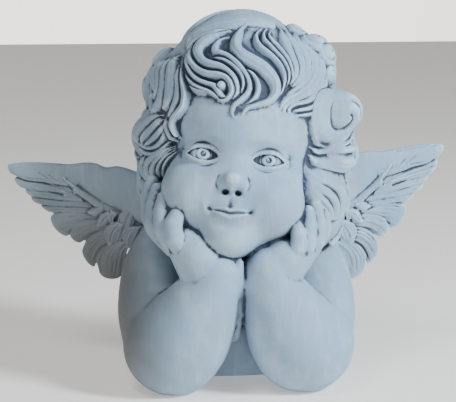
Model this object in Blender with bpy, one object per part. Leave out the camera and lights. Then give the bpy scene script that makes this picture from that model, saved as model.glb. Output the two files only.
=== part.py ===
"""Grave angel: a cherub bust that rests its head in its hands, with spread wings, cast in one piece.

Metres, +Z up, the face towards -Y. The origin is on the flat underside, between the elbows and the back.
Free forms are drawn in units, shares of the figure's height: one unit is a 254th of it.
"""

import math

import bmesh
import bpy
import numpy as np
from mathutils import Matrix

# Driving dimensions
FIGURE_HEIGHT = 0.254
WING_REACHES = {-1: 0.0980, 1: 0.1015}
WING_PLATE = 0.0052
FEATHER_THICKNESS = 0.0060
LOCK_WIDTH = 0.0150
LOCK_RISE = 0.0062
STRAND_DEPTH = 0.0014
FINGER_WIDTH = 0.0118
UNDERSIDE_TRIM = 0.0015

# How finely the fused casting is faceted
FUSING_VOXEL = 0.0014
FACETS_KEPT = 0.0365
SOFTENING_PASSES = 2
LOCK_STEPS = 20
STRANDS = 3

UNIT = FIGURE_HEIGHT / 254

# The head's own frame: its centre, and how it is turned, tipped back and leant
HEAD_CENTRE = (4, 4, 165)
HEAD_TURN, HEAD_TIP, HEAD_LEAN = -6, -17, 6
FACE_RAYS_FROM = (0, -5, -12)
HAIR_RAYS_FROM = (0, 8, 12)

# Skull and soft masses of the face, each a centre and three radii in the head's frame
FACE_MASSES = (
    ((0, 6, 6), (54, 60, 58)),
    ((0, -22, 6), (43, 36, 36)),
    ((0, -13, -32), (46, 43, 42)),
    ((-25, -31, -46), (23, 24, 23)),
    ((25, -31, -46), (23, 24, 23)),
    ((0, -20, -60), (31, 32, 24)),
    ((0, -40, -73), (16, 14.5, 12)),
)
FACE_BLEND = 3.2
MUZZLE = ((0, -40, -56), (17, 14.5, 13))
NOSE = (
    ((0, -48.5, -27), (4.8, 6.0, 9.0)),
    ((0, -55.5, -35.5), (7.0, 7.0, 5.8)),
    ((-6.8, -52, -37.5), (4.8, 5.4, 4.4)),
    ((6.8, -52, -37.5), (4.8, 5.4, 4.4)),
)
NOSE_BLEND = 2.0
EYE_APART, EYE_LINE = 21.5, -20
SOCKET_DEPTH, SOCKET_WIDTH, SOCKET_HEIGHT = 4.5, 13, 9.5
EYEBALL = ((0, -37.5, 0), 11.6)
LID_THICKNESS, LID_BLEND = 1.5, 1.3
LID_OPENING, UPPER_LID_ARCH, LOWER_LID_ARCH = 10.4, 5.6, 3.6
LIPS = (
    ((0, -52.8, -54.4), (11.8, 4.4, 2.5)),
    ((0, -52.0, -59.4), (9.2, 4.8, 3.2)),
)
LIP_BLEND = 1.0

# The mass of hair that the locks lie on
HAIR_MASSES = (
    ((-3, 8, 13), (60.5, 65, 80)),
    ((-45, 8, -30), (20, 25, 30)),
    ((-57, 0, -5), (15, 16, 15)),
    ((-44, 2, 34), (20, 22, 20)),
    ((50, 6, -38), (25, 28, 36)),
    ((55, 0, 16), (21, 20, 20)),
    ((39, 4, 46), (20, 22, 20)),
    ((0, 48, -30), (46, 22, 36)),
)
HAIR_BLEND = 4.0
# The hairline: its height over the brow, and its bearings there, which widen for each degree downwards
HAIRLINE_UP, HAIRLINE_LEFT, HAIRLINE_RIGHT, HAIRLINE_SPREAD = 11, -36, 40, 0.42
UNDER_FACE = 40

# Locks carved on the hair. Each follows (bearing, height) angles in degrees from the middle of the face,
# and has its width and rise as shares of the usual lock's. Later locks lie over earlier ones.
FRONT_LOCKS = (
    (((34, 64), (55, 50), (63, 35), (47, 17), (33, 7), (28, 1), (34, -1)), 1.35, 1.25),
    (((19, 60), (30, 44), (40, 32), (35, 18), (24, 9), (21, 2), (27, -2)), 1.20, 1.25),
    (((7, 58), (13, 40), (25, 31), (28, 22), (24, 11)), 0.80, 1.0),
    (((-14, 46), (-24, 38), (-18, 29), (-7, 24), (0, 16), (-3, 4)), 0.95, 0.95),
    (((0, 56), (-2, 38), (9, 31), (19, 23), (21, 12), (9, 1)), 1.00, 1.15),
    (((-12, 52), (-36, 46), (-48, 35), (-43, 22), (-30, 13), (-14, 6), (-5, 3)), 0.95, 0.95),
    (((-12, 48), (-29, 40), (-34, 31), (-24, 22), (-11, 18), (-5, 10), (-9, 4), (-15, 7), (-12, 12)),
     0.72, 1.1),
    (((-5, 56), (-12, 42), (-9, 32), (3, 25), (12, 17), (11, 7), (2, 0), (-3, -6), (1, -9)), 1.10, 1.35),
)

# Locks that hang beside the cheeks, from the temples to the shoulders
SIDE_LOCKS = (
    (((-48, -20), (-60, -28), (-72, -38), (-70, -48)), 1.00, 0.9),
    (((-60, -18), (-78, -26), (-86, -38), (-84, -50)), 1.00, 0.9),
    (((-80, -20), (-96, -28), (-100, -40), (-98, -52)), 1.00, 0.9),
    (((-50, 42), (-57, 28), (-50, 13), (-39, 4), (-38, -6), (-46, -14)), 0.95, 1.1),
    (((-62, 42), (-72, 27), (-66, 10), (-54, -3)), 0.95, 1.0),
    (((-78, 40), (-88, 22), (-82, 8), (-68, -4)), 0.95, 1.0),
    (((47, -6), (58, -13), (74, -14), (92, -6)), 0.95, 1.0),
    (((50, -16), (62, -22), (80, -22), (98, -12)), 1.00, 1.0),
    (((54, -26), (68, -32), (86, -32), (102, -22)), 1.05, 1.0),
    (((58, -34), (74, -42), (92, -42), (106, -32)), 1.05, 1.0),
    (((62, -42), (76, -50), (94, -52), (100, -42), (88, -38)), 1.00, 1.2),
    (((40, 10), (46, -8), (52, -21), (60, -34), (67, -46)), 0.75, 0.5),
    (((-40, 2), (-44, -14), (-50, -26), (-56, -38), (-66, -46)), 0.75, 0.5),
)

# Round curls: bearing, height, radius in units, and how many turns show
CURLS = (
    (78, 60, 8.5, 1.2),
    (82, 48, 10.0, 1.2),
    (84, 35, 10.0, 1.2),
    (73, 13, 18.0, 1.6),
    (-70, -8, 13.5, 1.3),
    (-104, 6, 11.0, 1.3),
    (110, -8, 11.0, 1.3),
)
CURL_SWELL, CURL_FACING = 0.58, 0.6

# Rows of locks round the back of the head: height, how many, the sway of each, and its length
BACK_ROWS = (
    (62, 7, 26, 30),
    (38, 9, -24, 30),
    (14, 10, 24, 30),
    (-10, 9, -22, 28),
    (-34, 8, 20, 26),
)
BACK_FROM, BACK_TO = 98, 262

# Torso: level sections from the underside to the neck, as height, centre y, half width and half depth
TORSO_SECTIONS = (
    (-6, 22, 50, 27),
    (20, 20, 54, 31),
    (55, 20, 57, 34),
    (85, 20, 60, 33),
    (102, 20, 52, 29),
    (118, 16, 34, 26),
    (140, 14, 26, 26),
)
THROAT = ((-2, -24, 72), (13, 25, 34))

# Limbs of one side: points and radii, as x outwards, y, z and radius
UPPER_ARM = ((46, 20, 88, 23), (53, 6, 74, 25), (55, -12, 54, 26), (49, -26, 40, 30), (43, -36, 32.5, 34))
FOREARM = ((42, -36, 32.5, 34), (34, -43, 44, 31.5), (26, -49, 60, 26), (19.5, -52, 76, 20),
           (18.5, -52, 84, 18))

# How far each arm is set outwards, at the underside and at the shoulder
ARM_SETS = {-1: (3.0, -2.5), 1: (1.0, 1.5)}
SHOULDER_HEIGHT = 88

# Hands, by side: the palm, then four fingers from the near one back, as x, y, z and radius.
# A finger's radius is a share of the finger's half width.
LEFT_PALM = ((-22, -51, 84, 17), (-28, -51, 94, 17), (-36, -47, 103, 14), (-44, -41, 108, 10))
RIGHT_PALM = ((20, -51, 82, 17), (28, -51, 88, 15), (38, -47, 94, 12.5), (45, -42, 98, 9))
LEFT_FINGERS = (
    ((-38, -54, 100, 1.10), (-44, -56, 109, 1.08), (-45, -55, 118, 1.02), (-41, -51, 126, 0.86)),
    ((-43, -49, 100, 1.02), (-51, -50, 112, 0.98), (-52, -46, 124, 0.92), (-50, -41, 134, 0.78)),
    ((-45, -42, 100, 1.00), (-57, -42, 114, 0.95), (-57, -37, 127, 0.88), (-54, -32, 138, 0.74)),
    ((-44, -34, 102, 1.00), (-58, -32, 116, 0.95), (-60, -26, 130, 0.88), (-57, -20, 141, 0.74)),
)
RIGHT_FINGERS = (
    ((30, -54, 92, 0.98), (36, -57, 101, 0.94), (37, -55, 110, 0.86), (35, -51, 117, 0.74)),
    ((36, -51, 91, 1.00), (43, -53, 102, 0.94), (45, -49, 114, 0.86), (45, -43, 123, 0.74)),
    ((40, -46, 91, 1.00), (50, -46, 103, 0.95), (52, -42, 115, 0.88), (51, -36, 125, 0.74)),
    ((42, -38, 94, 1.00), (54, -38, 106, 0.95), (57, -33, 118, 0.88), (56, -26, 129, 0.74)),
)

# Wings. Their own frame: u outwards from the root, v up, both in units
WING_ROOT = (58, 40, 128)
WING_SWEEP_BACK = 6
WING_RISES = {-1: -2.0, 1: 3.0}
WING_REACH_DRAWN = 96
WING_SPREADS = {-1: 0.90, 1: 1.04}
WING_ARM = ((-26, -8, 15, 8), (-6, -1, 16, 9.5), (12, 1.5, 16.5, 9), (35, 7.0, 13, 7.5),
            (54, 11, 8.5, 6), (74, 13, 6, 4.5), (94, 15.5, 4.5, 3.5))
WING_FOLD = ((26, -12, 4, 4), (38, -8, 6, 6.5), (50, -2, 5, 5.5), (58, 1, 2.5, 3))
WING_WEB = ((-16, -16, 22, 1), (8, -18, 27, 1), (28, -17, 25, 1), (48, -8, 18, 1), (68, 2, 12, 0.9),
            (86, 10, 6, 0.8))
PRIMARY_WRIST = (44, 3)
PRIMARY_COUNT, PRIMARY_TOP, PRIMARY_STEP = 6, 17, -11.5
PRIMARY_LENGTH, PRIMARY_RATIO, PRIMARY_WIDTH = 55, 0.905, 13
# Broad rounded feathers below: root, tip and width
BROAD_FEATHERS = (
    ((34, -17), (71, -29), 17),
    ((28, -20), (57, -39), 17),
    ((22, -24), (45, -52), 20),
    ((14, -26), (28, -66), 22),
    ((4, -24), (10, -66), 18),
)
# Small covert feathers in two rows: first and last root, how many, length and width
COVERT_ROWS = (
    ((35, -13), (7, -36), 5, 12, 10),
    ((24, -10), (2, -24), 3, 13, 12),
)


def at(x, y, z):
    """A point of the figure, from units."""
    return np.array((x, y, z), float) * UNIT


def turn_about(axis, degrees):
    return np.array(Matrix.Rotation(math.radians(degrees), 3, axis))


HEAD_TURNED = turn_about("Z", HEAD_TURN) @ turn_about("X", HEAD_TIP) @ turn_about("Y", HEAD_LEAN)


def from_head(points):
    """Points of the head's frame, in units, as metres of the figure."""
    return (np.asarray(points, float) @ HEAD_TURNED.T + np.array(HEAD_CENTRE, float)) * UNIT


def spline(controls, count):
    """count rows along a smooth curve through the control rows."""
    rows = np.asarray(controls, float)
    ends = np.vstack([2 * rows[0] - rows[1], rows, 2 * rows[-1] - rows[-2]])
    places = np.linspace(0, len(rows) - 1, count)
    first = np.minimum(places.astype(int), len(rows) - 2)
    t = (places - first)[:, None]
    a, b, c, d = (ends[first + k] for k in range(4))
    return 0.5 * (2 * b + (c - a) * t + (2 * a - 5 * b + 4 * c - d) * t**2 + (3 * b - a - 3 * c + d) * t**3)


def unit_rows(vectors):
    return vectors / np.maximum(np.linalg.norm(vectors, axis=-1, keepdims=True), 1e-12)


def add_mesh(clay, points, faces):
    verts = [clay.verts.new(p) for p in points]
    for face in faces:
        clay.faces.new([verts[i] for i in face])


def sweep(clay, spine, ups, widths, heights, profile):
    """A closed tube through the spine's points. Each ring is the profile: widths across, heights along up."""
    spine = np.asarray(spine, float)
    count, ring = len(spine), len(profile)
    along = unit_rows(np.gradient(spine, axis=0))
    side = unit_rows(np.cross(along, ups))
    up = np.cross(side, along)
    across = side[:, None] * np.asarray(widths)[:, None, None] * profile[None, :, :1]
    rise = up[:, None] * np.asarray(heights)[:, None, None] * profile[None, :, 1:]
    rings = (spine[:, None] + across + rise).reshape(-1, 3)
    start, end = count * ring, count * ring + 1
    faces = []
    for i in range(count - 1):
        for k in range(ring):
            n = (k + 1) % ring
            faces.append((i * ring + k, i * ring + n, (i + 1) * ring + n, (i + 1) * ring + k))
    last = (count - 1) * ring
    for k in range(ring):
        n = (k + 1) % ring
        faces.append((n, k, start))
        faces.append((last + k, last + n, end))
    add_mesh(clay, np.vstack([rings, spine[:1], spine[-1:]]), faces)


def round_profile(sides):
    angles = np.arange(sides) * 2 * math.pi / sides
    return np.stack([np.cos(angles), np.sin(angles)], axis=1)


def dome_ends(count, share):
    """Radii along a tube whose two ends are rounded over that share of its length."""
    t = np.linspace(0, 1, count)
    near = np.clip(np.minimum(t, 1 - t) / share, 0, 1)
    return np.sqrt(np.clip(1 - (1 - near) ** 2, 0.02, 1))


def limb(clay, controls, count=40, sides=48):
    """A fleshy tube through x, y, z and radius, in units, with a ball at each end."""
    rows = spline(controls, count)
    ups = np.tile((0.0, -1.0, 0.2), (count, 1))
    sweep(clay, rows[:, :3] * UNIT, ups, rows[:, 3] * UNIT, rows[:, 3] * UNIT, round_profile(sides))
    for x, y, z, radius in (rows[0], rows[-1]):
        ball(clay, (x, y, z), (radius, radius, radius))


def ball(clay, centre, radii):
    """An ellipsoid, its centre and radii in units of the figure."""
    climb = np.radians(np.linspace(-88, 88, 24))
    spine = at(*centre) + np.outer(np.sin(climb), (0, 0, radii[2] * UNIT))
    ups = np.tile((0.0, 1.0, 0.0), (len(climb), 1))
    rings = np.cos(climb) * UNIT
    sweep(clay, spine, ups, rings * radii[0], rings * radii[1], round_profile(40))


def ellipsoid_distance(points, centre, radii):
    """About how far points are from an ellipsoid, negative inside."""
    scaled = (points - np.array(centre, float)) / np.array(radii, float)
    k0 = np.linalg.norm(scaled, axis=-1)
    k1 = np.linalg.norm(scaled / np.array(radii, float), axis=-1)
    return k0 * (k0 - 1) / np.maximum(k1, 1e-9)


def blended(distances, softness):
    """A smooth union: the lowest distance, rounded where two are close."""
    stacked = np.stack(distances)
    low = stacked.min(axis=0)
    return low - softness * np.log(np.exp(-(stacked - low) / softness).sum(axis=0))


def face_distance(p):
    """Negative inside the bare head and face, in units of the head's frame."""
    flesh = blended([ellipsoid_distance(p, c, r) for c, r in (*FACE_MASSES, MUZZLE)], FACE_BLEND)
    nose = blended([ellipsoid_distance(p, c, r) for c, r in NOSE], NOSE_BLEND)
    skin = blended([flesh, nose], NOSE_BLEND)
    across, level = np.abs(p[..., 0]) - EYE_APART, p[..., 2] - EYE_LINE
    front = p[..., 1] < 0
    socket = np.exp(-((across / SOCKET_WIDTH) ** 2) - (level / SOCKET_HEIGHT) ** 2)
    skin = skin + SOCKET_DEPTH * socket * front
    (_, ball_y, _), radius = EYEBALL
    eyeball = np.sqrt(across**2 + (p[..., 1] - ball_y) ** 2 + level**2) - radius
    lids = blended([skin, eyeball - LID_THICKNESS], LID_BLEND)
    arch = np.clip(1 - (across / LID_OPENING) ** 2, 0, 1)
    opening = (level < UPPER_LID_ARCH * arch) & (level > -LOWER_LID_ARCH * arch) & front
    eyes = np.where(opening, np.minimum(eyeball, skin + LID_THICKNESS), lids)
    lips = blended([ellipsoid_distance(p, c, r) for c, r in LIPS], LIP_BLEND)
    return np.where(opening, eyes, blended([eyes, lips], LIP_BLEND))


def hair_distance(p):
    return blended([ellipsoid_distance(p, c, r) for c, r in HAIR_MASSES], HAIR_BLEND)


def ray_lengths(distance, start, directions, far=130):
    """How far each ray from start runs inside the form, found by halving."""
    low, high = np.zeros(len(directions)), np.full(len(directions), float(far))
    for _ in range(26):
        middle = (low + high) / 2
        inside = distance(np.array(start, float) + directions * middle[:, None]) < 0
        low, high = np.where(inside, middle, low), np.where(inside, high, middle)
    return low


def directions_of(bearings, heights):
    """Unit vectors from angles in degrees: bearing from the middle of the face, height above the level."""
    a, e = np.radians(bearings), np.radians(heights)
    return np.stack([np.sin(a) * np.cos(e), -np.cos(a) * np.cos(e), np.sin(e)], axis=-1)


def on_hair(bearings, heights):
    """Points on the mass of hair, in the head's frame, and the directions outwards there."""
    outwards = directions_of(bearings, heights)
    reach = ray_lengths(hair_distance, HAIR_RAYS_FROM, outwards)
    return np.array(HAIR_RAYS_FROM, float) + outwards * reach[:, None], outwards


def head_ball(clay, start, lengths_of):
    """A ball of rays from start, in the head's frame, each as long as lengths_of says."""
    made = bmesh.ops.create_icosphere(clay, subdivisions=6, radius=1)["verts"]
    directions = unit_rows(np.array([v.co for v in made]))
    points = from_head(np.array(start, float) + directions * lengths_of(directions)[:, None])
    for vert, point in zip(made, points):
        vert.co = point


def bare_head(clay):
    head_ball(clay, FACE_RAYS_FROM, lambda d: ray_lengths(face_distance, FACE_RAYS_FROM, d))


def strip_relief(points, outwards, spine, half):
    """For each point its share along a lock's spine, and how far it is beside it in half widths."""
    a, b = spine[:-1], spine[1:]
    along = b - a
    share = ((points[:, None] - a) * along).sum(axis=2) / (along**2).sum(axis=1)
    share = np.clip(share, 0, 1)
    gap = points[:, None] - (a + share[..., None] * along)
    distance = np.linalg.norm(gap, axis=2)
    nearest = distance.argmin(axis=1)
    rows = np.arange(len(points))
    t = (nearest + share[rows, nearest]) / len(a)
    side = (np.cross(along[nearest], outwards) * gap[rows, nearest]).sum(axis=1)
    width = np.interp(t, np.linspace(0, 1, len(half)), half)
    return t, distance[rows, nearest] / width * np.sign(side)


def lock_relief(points, outwards, angles, width, rise):
    """How high a lock stands over points of the hair, zero where it doesn't reach."""
    rows = spline(angles, LOCK_STEPS)
    t = np.linspace(0, 1, LOCK_STEPS)
    swell = np.clip(t / 0.25, 0.35, 1) ** 0.5 * np.clip((1 - t) / 0.35, 0.08, 1) ** 0.6
    half = width * LOCK_WIDTH / UNIT / 2 * swell
    spine, _ = on_hair(rows[:, 0], rows[:, 1])
    height = np.zeros(len(points))
    reach = np.linalg.norm(points - spine.mean(axis=0), axis=1)
    extent = np.linalg.norm(spine - spine.mean(axis=0), axis=1).max() + half.max()
    near = np.flatnonzero(reach < extent)
    t, beside = strip_relief(points[near], outwards[near], spine, half)
    dome = np.sqrt(np.clip(1 - beside**2, 0, 1))
    strands = 1 - np.abs(np.sin(math.pi * STRANDS * (beside + 1) / 2)) ** 0.6
    fade = np.clip((1 - t) / 0.5, 0.25, 1)
    height[near] = rise * LOCK_RISE / UNIT * (0.25 + 0.75 * fade) * np.clip(0.25 + 3 * t, 0, 1) * dome
    height[near] -= STRAND_DEPTH / UNIT * strands * np.clip(3 * dome - 0.6, 0, 1) * fade
    height[near[dome <= 0]] = 0
    return height


def curl_relief(points, bearing, height, radius, turns):
    """A snail of hair: a ball with a groove that winds out from its eye."""
    centre, _ = on_hair(np.array([bearing]), np.array([height]))
    facing = directions_of(bearing * (CURL_FACING if abs(bearing) < 90 else 1), height)
    side = unit_rows(np.cross(facing, (0, 0, 1.0)))
    up = np.cross(side, facing)
    gap = points - centre[0]
    across, along = gap @ side, gap @ up
    reach = np.hypot(across, along) / radius
    phase = reach * turns - np.arctan2(along, across) / (2 * math.pi)
    groove = (1 - np.abs(np.sin(math.pi * phase))) ** 1.5
    ball_height = radius * CURL_SWELL * np.sqrt(np.clip(1 - reach**2, 0, 1))
    relief = ball_height * (1 - 0.42 * groove * np.clip(4 * (1 - reach), 0, 1))
    return np.where((reach < 1) & (np.linalg.norm(gap, axis=1) < 2 * radius), relief, 0)


def back_locks():
    """Waved locks in staggered rows round the back of the head."""
    for row, (height, number, sway, length) in enumerate(BACK_ROWS):
        step = (BACK_TO - BACK_FROM) / number
        for i in range(number):
            bearing = BACK_FROM + step * (i + (0.75 if row % 2 else 0.25))
            yield ((bearing, height + length * 0.6), (bearing + sway * 0.5, height + length * 0.2),
                   (bearing + sway * 0.35, height - length * 0.25),
                   (bearing - sway * 0.35, height - length * 0.6))


def hair_lengths(directions):
    """How far the carved hair reaches along rays, and drawn back under the skin where the face is."""
    bearings = np.degrees(np.arctan2(directions[:, 0], -directions[:, 1]))
    heights = np.degrees(np.arcsin(directions[:, 2]))
    reach = ray_lengths(hair_distance, HAIR_RAYS_FROM, directions)
    points = np.array(HAIR_RAYS_FROM, float) + directions * reach[:, None]
    relief = np.zeros(len(points))
    for angles in back_locks():
        relief = np.maximum(relief, lock_relief(points, directions, angles, 1.15, 0.95))
    for angles, width, rise in (*FRONT_LOCKS, *SIDE_LOCKS):
        height = lock_relief(points, directions, angles, width, rise)
        relief = np.where(height > 0, np.maximum(height, relief - LOCK_RISE / UNIT * 0.35), relief)
    for bearing, height, radius, turns in CURLS:
        relief = np.maximum(relief, curl_relief(points, bearing, height, radius, turns))
    below = HAIRLINE_UP - heights
    left, right = HAIRLINE_LEFT - HAIRLINE_SPREAD * below, HAIRLINE_RIGHT + HAIRLINE_SPREAD * below
    face = (below > 0) & (bearings > left) & (bearings < right)
    return np.where(face & (relief <= 0), UNDER_FACE, reach + relief)


def hair(clay):
    head_ball(clay, HAIR_RAYS_FROM, hair_lengths)


def torso(clay):
    rows = spline(TORSO_SECTIONS, 40)
    spine = np.stack([0 * rows[:, 0], rows[:, 1], rows[:, 0]], axis=1) * UNIT
    ups = np.tile((0.0, 1.0, 0.0), (40, 1))
    profile = round_profile(64)
    corner = np.abs(profile) ** 0.8 * np.sign(profile)
    sweep(clay, spine, ups, rows[:, 2] * UNIT, rows[:, 3] * UNIT, corner)
    ball(clay, *THROAT)


def arms(clay):
    for side, (low, high) in ARM_SETS.items():
        upper = [(x + low + (high - low) * z / SHOULDER_HEIGHT, y, z, r) for x, y, z, r in UPPER_ARM]
        fore = [(x + low * (1 - z / SHOULDER_HEIGHT), y, z, r) for x, y, z, r in FOREARM]
        for controls in (upper, fore):
            limb(clay, [(side * x, y, z, r) for x, y, z, r in controls])


def hands(clay):
    for palm, fingers in ((LEFT_PALM, LEFT_FINGERS), (RIGHT_PALM, RIGHT_FINGERS)):
        limb(clay, palm)
        for finger in fingers:
            half = FINGER_WIDTH / UNIT / 2
            limb(clay, [(x, y, z, r * half) for x, y, z, r in finger], count=20, sides=20)


def wing_frame(side):
    """A function from a wing's u, v and depth in units to metres of the figure, and its upwards vector."""
    x, y, z = WING_ROOT
    reach = WING_REACHES[side] / WING_REACH_DRAWN
    sweep_back, rise = math.radians(WING_SWEEP_BACK), math.radians(WING_RISES[side])
    outwards = np.array((side * math.cos(sweep_back), math.sin(sweep_back), 0))
    across = outwards * math.cos(rise) + np.array((0, 0, math.sin(rise)))
    up = np.array((0, 0, math.cos(rise))) - outwards * math.sin(rise)
    front = np.array((side * math.sin(sweep_back), -math.cos(sweep_back), 0))

    def place(u, v, depth=0.0):
        u, v, depth = (np.asarray(n, float)[..., None] for n in (u, v, depth))
        return at(side * x, y, z) + across * u * reach + up * v * UNIT + front * depth * UNIT

    return place, front


def wing_form(clay, place, front, rows, count=22, thickness=None):
    """A smooth lens-shaped form along a wing: u, v, half height and half depth."""
    rows = spline(rows, count)
    ends = dome_ends(count, 0.12)
    depth = rows[:, 3] * (UNIT if thickness is None else thickness / 2)
    sweep(clay, place(rows[:, 0], rows[:, 1]), np.tile(front, (count, 1)), rows[:, 2] * ends * UNIT,
          depth * ends, round_profile(20))


def feather(clay, place, front, root, tip, width, lift, bow=0.06, count=18):
    """One feather: a thin blade that swells from its quill to a round end, with a ridge for its shaft."""
    root, tip = np.array(root, float), np.array(tip, float)
    t = np.linspace(0, 1, count)
    along = tip - root
    across = np.array((along[1], -along[0])) * bow
    spine = root + t[:, None] * along + (np.sin(math.pi * t))[:, None] * across
    tip_share = np.clip((t - 0.78) / 0.22, 0, 1)
    swell = np.clip(0.45 + 1.1 * t, 0, 1) * np.sqrt(np.clip(1 - tip_share**2, 0.02, 1))
    profile = round_profile(16)
    profile[:, 1] = np.sign(profile[:, 1]) * np.abs(profile[:, 1]) ** 1.3
    sweep(clay, place(spine[:, 0], spine[:, 1], lift * (1 - 0.4 * t)), np.tile(front, (count, 1)),
          width / 2 * swell * UNIT, FEATHER_THICKNESS / 2 * (0.35 + 0.65 * swell), profile)


def wing(clay, side):
    place, front = wing_frame(side)
    wing_form(clay, place, front, WING_WEB, thickness=WING_PLATE)
    for i in range(PRIMARY_COUNT):
        angle = math.radians(PRIMARY_TOP + PRIMARY_STEP * i)
        length = PRIMARY_LENGTH * PRIMARY_RATIO**i
        tip = (PRIMARY_WRIST[0] + length * math.cos(angle), PRIMARY_WRIST[1] + length * math.sin(angle))
        feather(clay, place, front, PRIMARY_WRIST, tip, PRIMARY_WIDTH, 1.2 - 0.5 * i, bow=-0.05)
    for i, (root, tip, width) in enumerate(BROAD_FEATHERS):
        tip = (tip[0] * WING_SPREADS[side], tip[1])
        feather(clay, place, front, root, tip, width, 0.6 + 0.5 * (i % 2), bow=0.08)
    for row, (first, last, number, length, width) in enumerate(COVERT_ROWS):
        for i in range(number):
            share = i / (number - 1)
            root = np.array(first) * (1 - share) + np.array(last) * share
            angle = math.radians(-20 - 62 * share)
            tip = root + length * np.array((math.cos(angle), math.sin(angle)))
            feather(clay, place, front, root, tip, width, 2.8 + 1.6 * row)
    wing_form(clay, place, front, WING_ARM)
    wing_form(clay, place, front, WING_FOLD)


def stone_finish():
    """Cast resin with a pale blue grey finish."""
    material = bpy.data.materials.new("pale_blue_grey_resin")
    material.use_nodes = True
    shader = material.node_tree.nodes["Principled BSDF"]
    shader.inputs["Base Color"].default_value = (0.42, 0.49, 0.54, 1)
    shader.inputs["Roughness"].default_value = 0.62
    shader.inputs["Metallic"].default_value = 0.0
    return material


def underside_cutter():
    """A block whose top is the plane that the figure stands on."""
    depth = 0.06
    bpy.ops.mesh.primitive_cube_add(size=1, location=(0, 0, -depth / 2))
    cutter = bpy.context.object
    cutter.name = "underside_cutter"
    cutter.scale = (2 * FIGURE_HEIGHT, 2 * FIGURE_HEIGHT, depth)
    bpy.ops.object.transform_apply(location=False, rotation=False, scale=True)
    cutter.hide_render = True
    cutter.display_type = "WIRE"
    return cutter


def fuse(bust):
    """One casting from the overlapping shapes, faceted for a light solid, flat below."""
    remesh = bust.modifiers.new("fuse", "REMESH")
    remesh.mode = "VOXEL"
    remesh.voxel_size = FUSING_VOXEL
    soften = bust.modifiers.new("soften", "SMOOTH")
    soften.factor = 0.5
    soften.iterations = SOFTENING_PASSES
    facet = bust.modifiers.new("facet", "DECIMATE")
    facet.ratio = FACETS_KEPT
    flat = bust.modifiers.new("flat_underside", "BOOLEAN")
    flat.operation = "DIFFERENCE"
    flat.object = underside_cutter()


def main():
    for old in list(bpy.data.objects):
        bpy.data.objects.remove(old)
    clay = bmesh.new()
    bare_head(clay)
    hair(clay)
    torso(clay)
    arms(clay)
    hands(clay)
    for side in (-1, 1):
        wing(clay, side)
    bmesh.ops.recalc_face_normals(clay, faces=clay.faces)
    bmesh.ops.translate(clay, verts=clay.verts, vec=(0, 0, -UNDERSIDE_TRIM))
    mesh = bpy.data.meshes.new("cherub_bust")
    clay.to_mesh(mesh)
    clay.free()
    bust = bpy.data.objects.new("cherub_bust", mesh)
    bpy.context.scene.collection.objects.link(bust)
    mesh.materials.append(stone_finish())
    fuse(bust)


main()
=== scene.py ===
"""Grave angel: a cherub bust with spread wings, cast in one piece, in a pale blue grey wash finish."""

import math

import bmesh
import bpy
import numpy as np
from mathutils import Matrix, Vector
from mathutils.bvhtree import BVHTree

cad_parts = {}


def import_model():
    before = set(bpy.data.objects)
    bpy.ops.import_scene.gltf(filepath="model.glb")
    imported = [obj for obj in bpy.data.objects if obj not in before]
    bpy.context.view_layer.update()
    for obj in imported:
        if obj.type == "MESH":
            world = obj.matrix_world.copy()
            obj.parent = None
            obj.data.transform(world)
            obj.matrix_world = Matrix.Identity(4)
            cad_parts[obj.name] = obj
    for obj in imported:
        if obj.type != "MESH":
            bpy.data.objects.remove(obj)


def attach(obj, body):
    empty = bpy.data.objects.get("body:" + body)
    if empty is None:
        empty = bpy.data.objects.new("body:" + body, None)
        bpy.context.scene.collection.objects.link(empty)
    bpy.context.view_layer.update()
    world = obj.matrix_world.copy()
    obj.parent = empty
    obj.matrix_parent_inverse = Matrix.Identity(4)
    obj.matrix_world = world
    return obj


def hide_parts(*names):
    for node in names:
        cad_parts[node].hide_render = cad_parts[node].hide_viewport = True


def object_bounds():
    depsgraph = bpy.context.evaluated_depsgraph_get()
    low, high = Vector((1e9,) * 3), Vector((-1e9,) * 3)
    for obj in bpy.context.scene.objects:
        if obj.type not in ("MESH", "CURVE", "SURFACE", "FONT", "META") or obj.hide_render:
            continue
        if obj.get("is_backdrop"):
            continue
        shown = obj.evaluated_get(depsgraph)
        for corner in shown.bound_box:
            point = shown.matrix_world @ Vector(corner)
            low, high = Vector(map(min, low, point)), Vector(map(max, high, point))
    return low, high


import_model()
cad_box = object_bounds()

# The figure is drawn in millimetres; so much of its underside is cut off at the plane that it stands on
UNIT, UNDERSIDE_TRIM = 0.001, 1.5
# The grid on which the parts are fused, in metres, and how often the ball of rays round the head is divided
VOXEL, BALL_CUTS = ((0.00078, 8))
# The limit on triangles, with some left for the cut underside
TRIANGLES, TRIANGLES_KEPT_BACK = 199000, 1500
# How far the mesh stays inside the CAD box, in metres
BOX_MARGIN = 0.00002

# The head's own frame: its centre in units, and how it is turned, tipped back and leant
HEAD_CENTRE = np.array((4.0, 4.0, 165.0))
HEAD_TURN, HEAD_TIP, HEAD_LEAN = -6, -17, 6
FACE_RAYS_FROM = np.array((0.0, -5.0, -12.0))
HAIR_RAYS_FROM = np.array((0.0, 8.0, 12.0))

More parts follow.
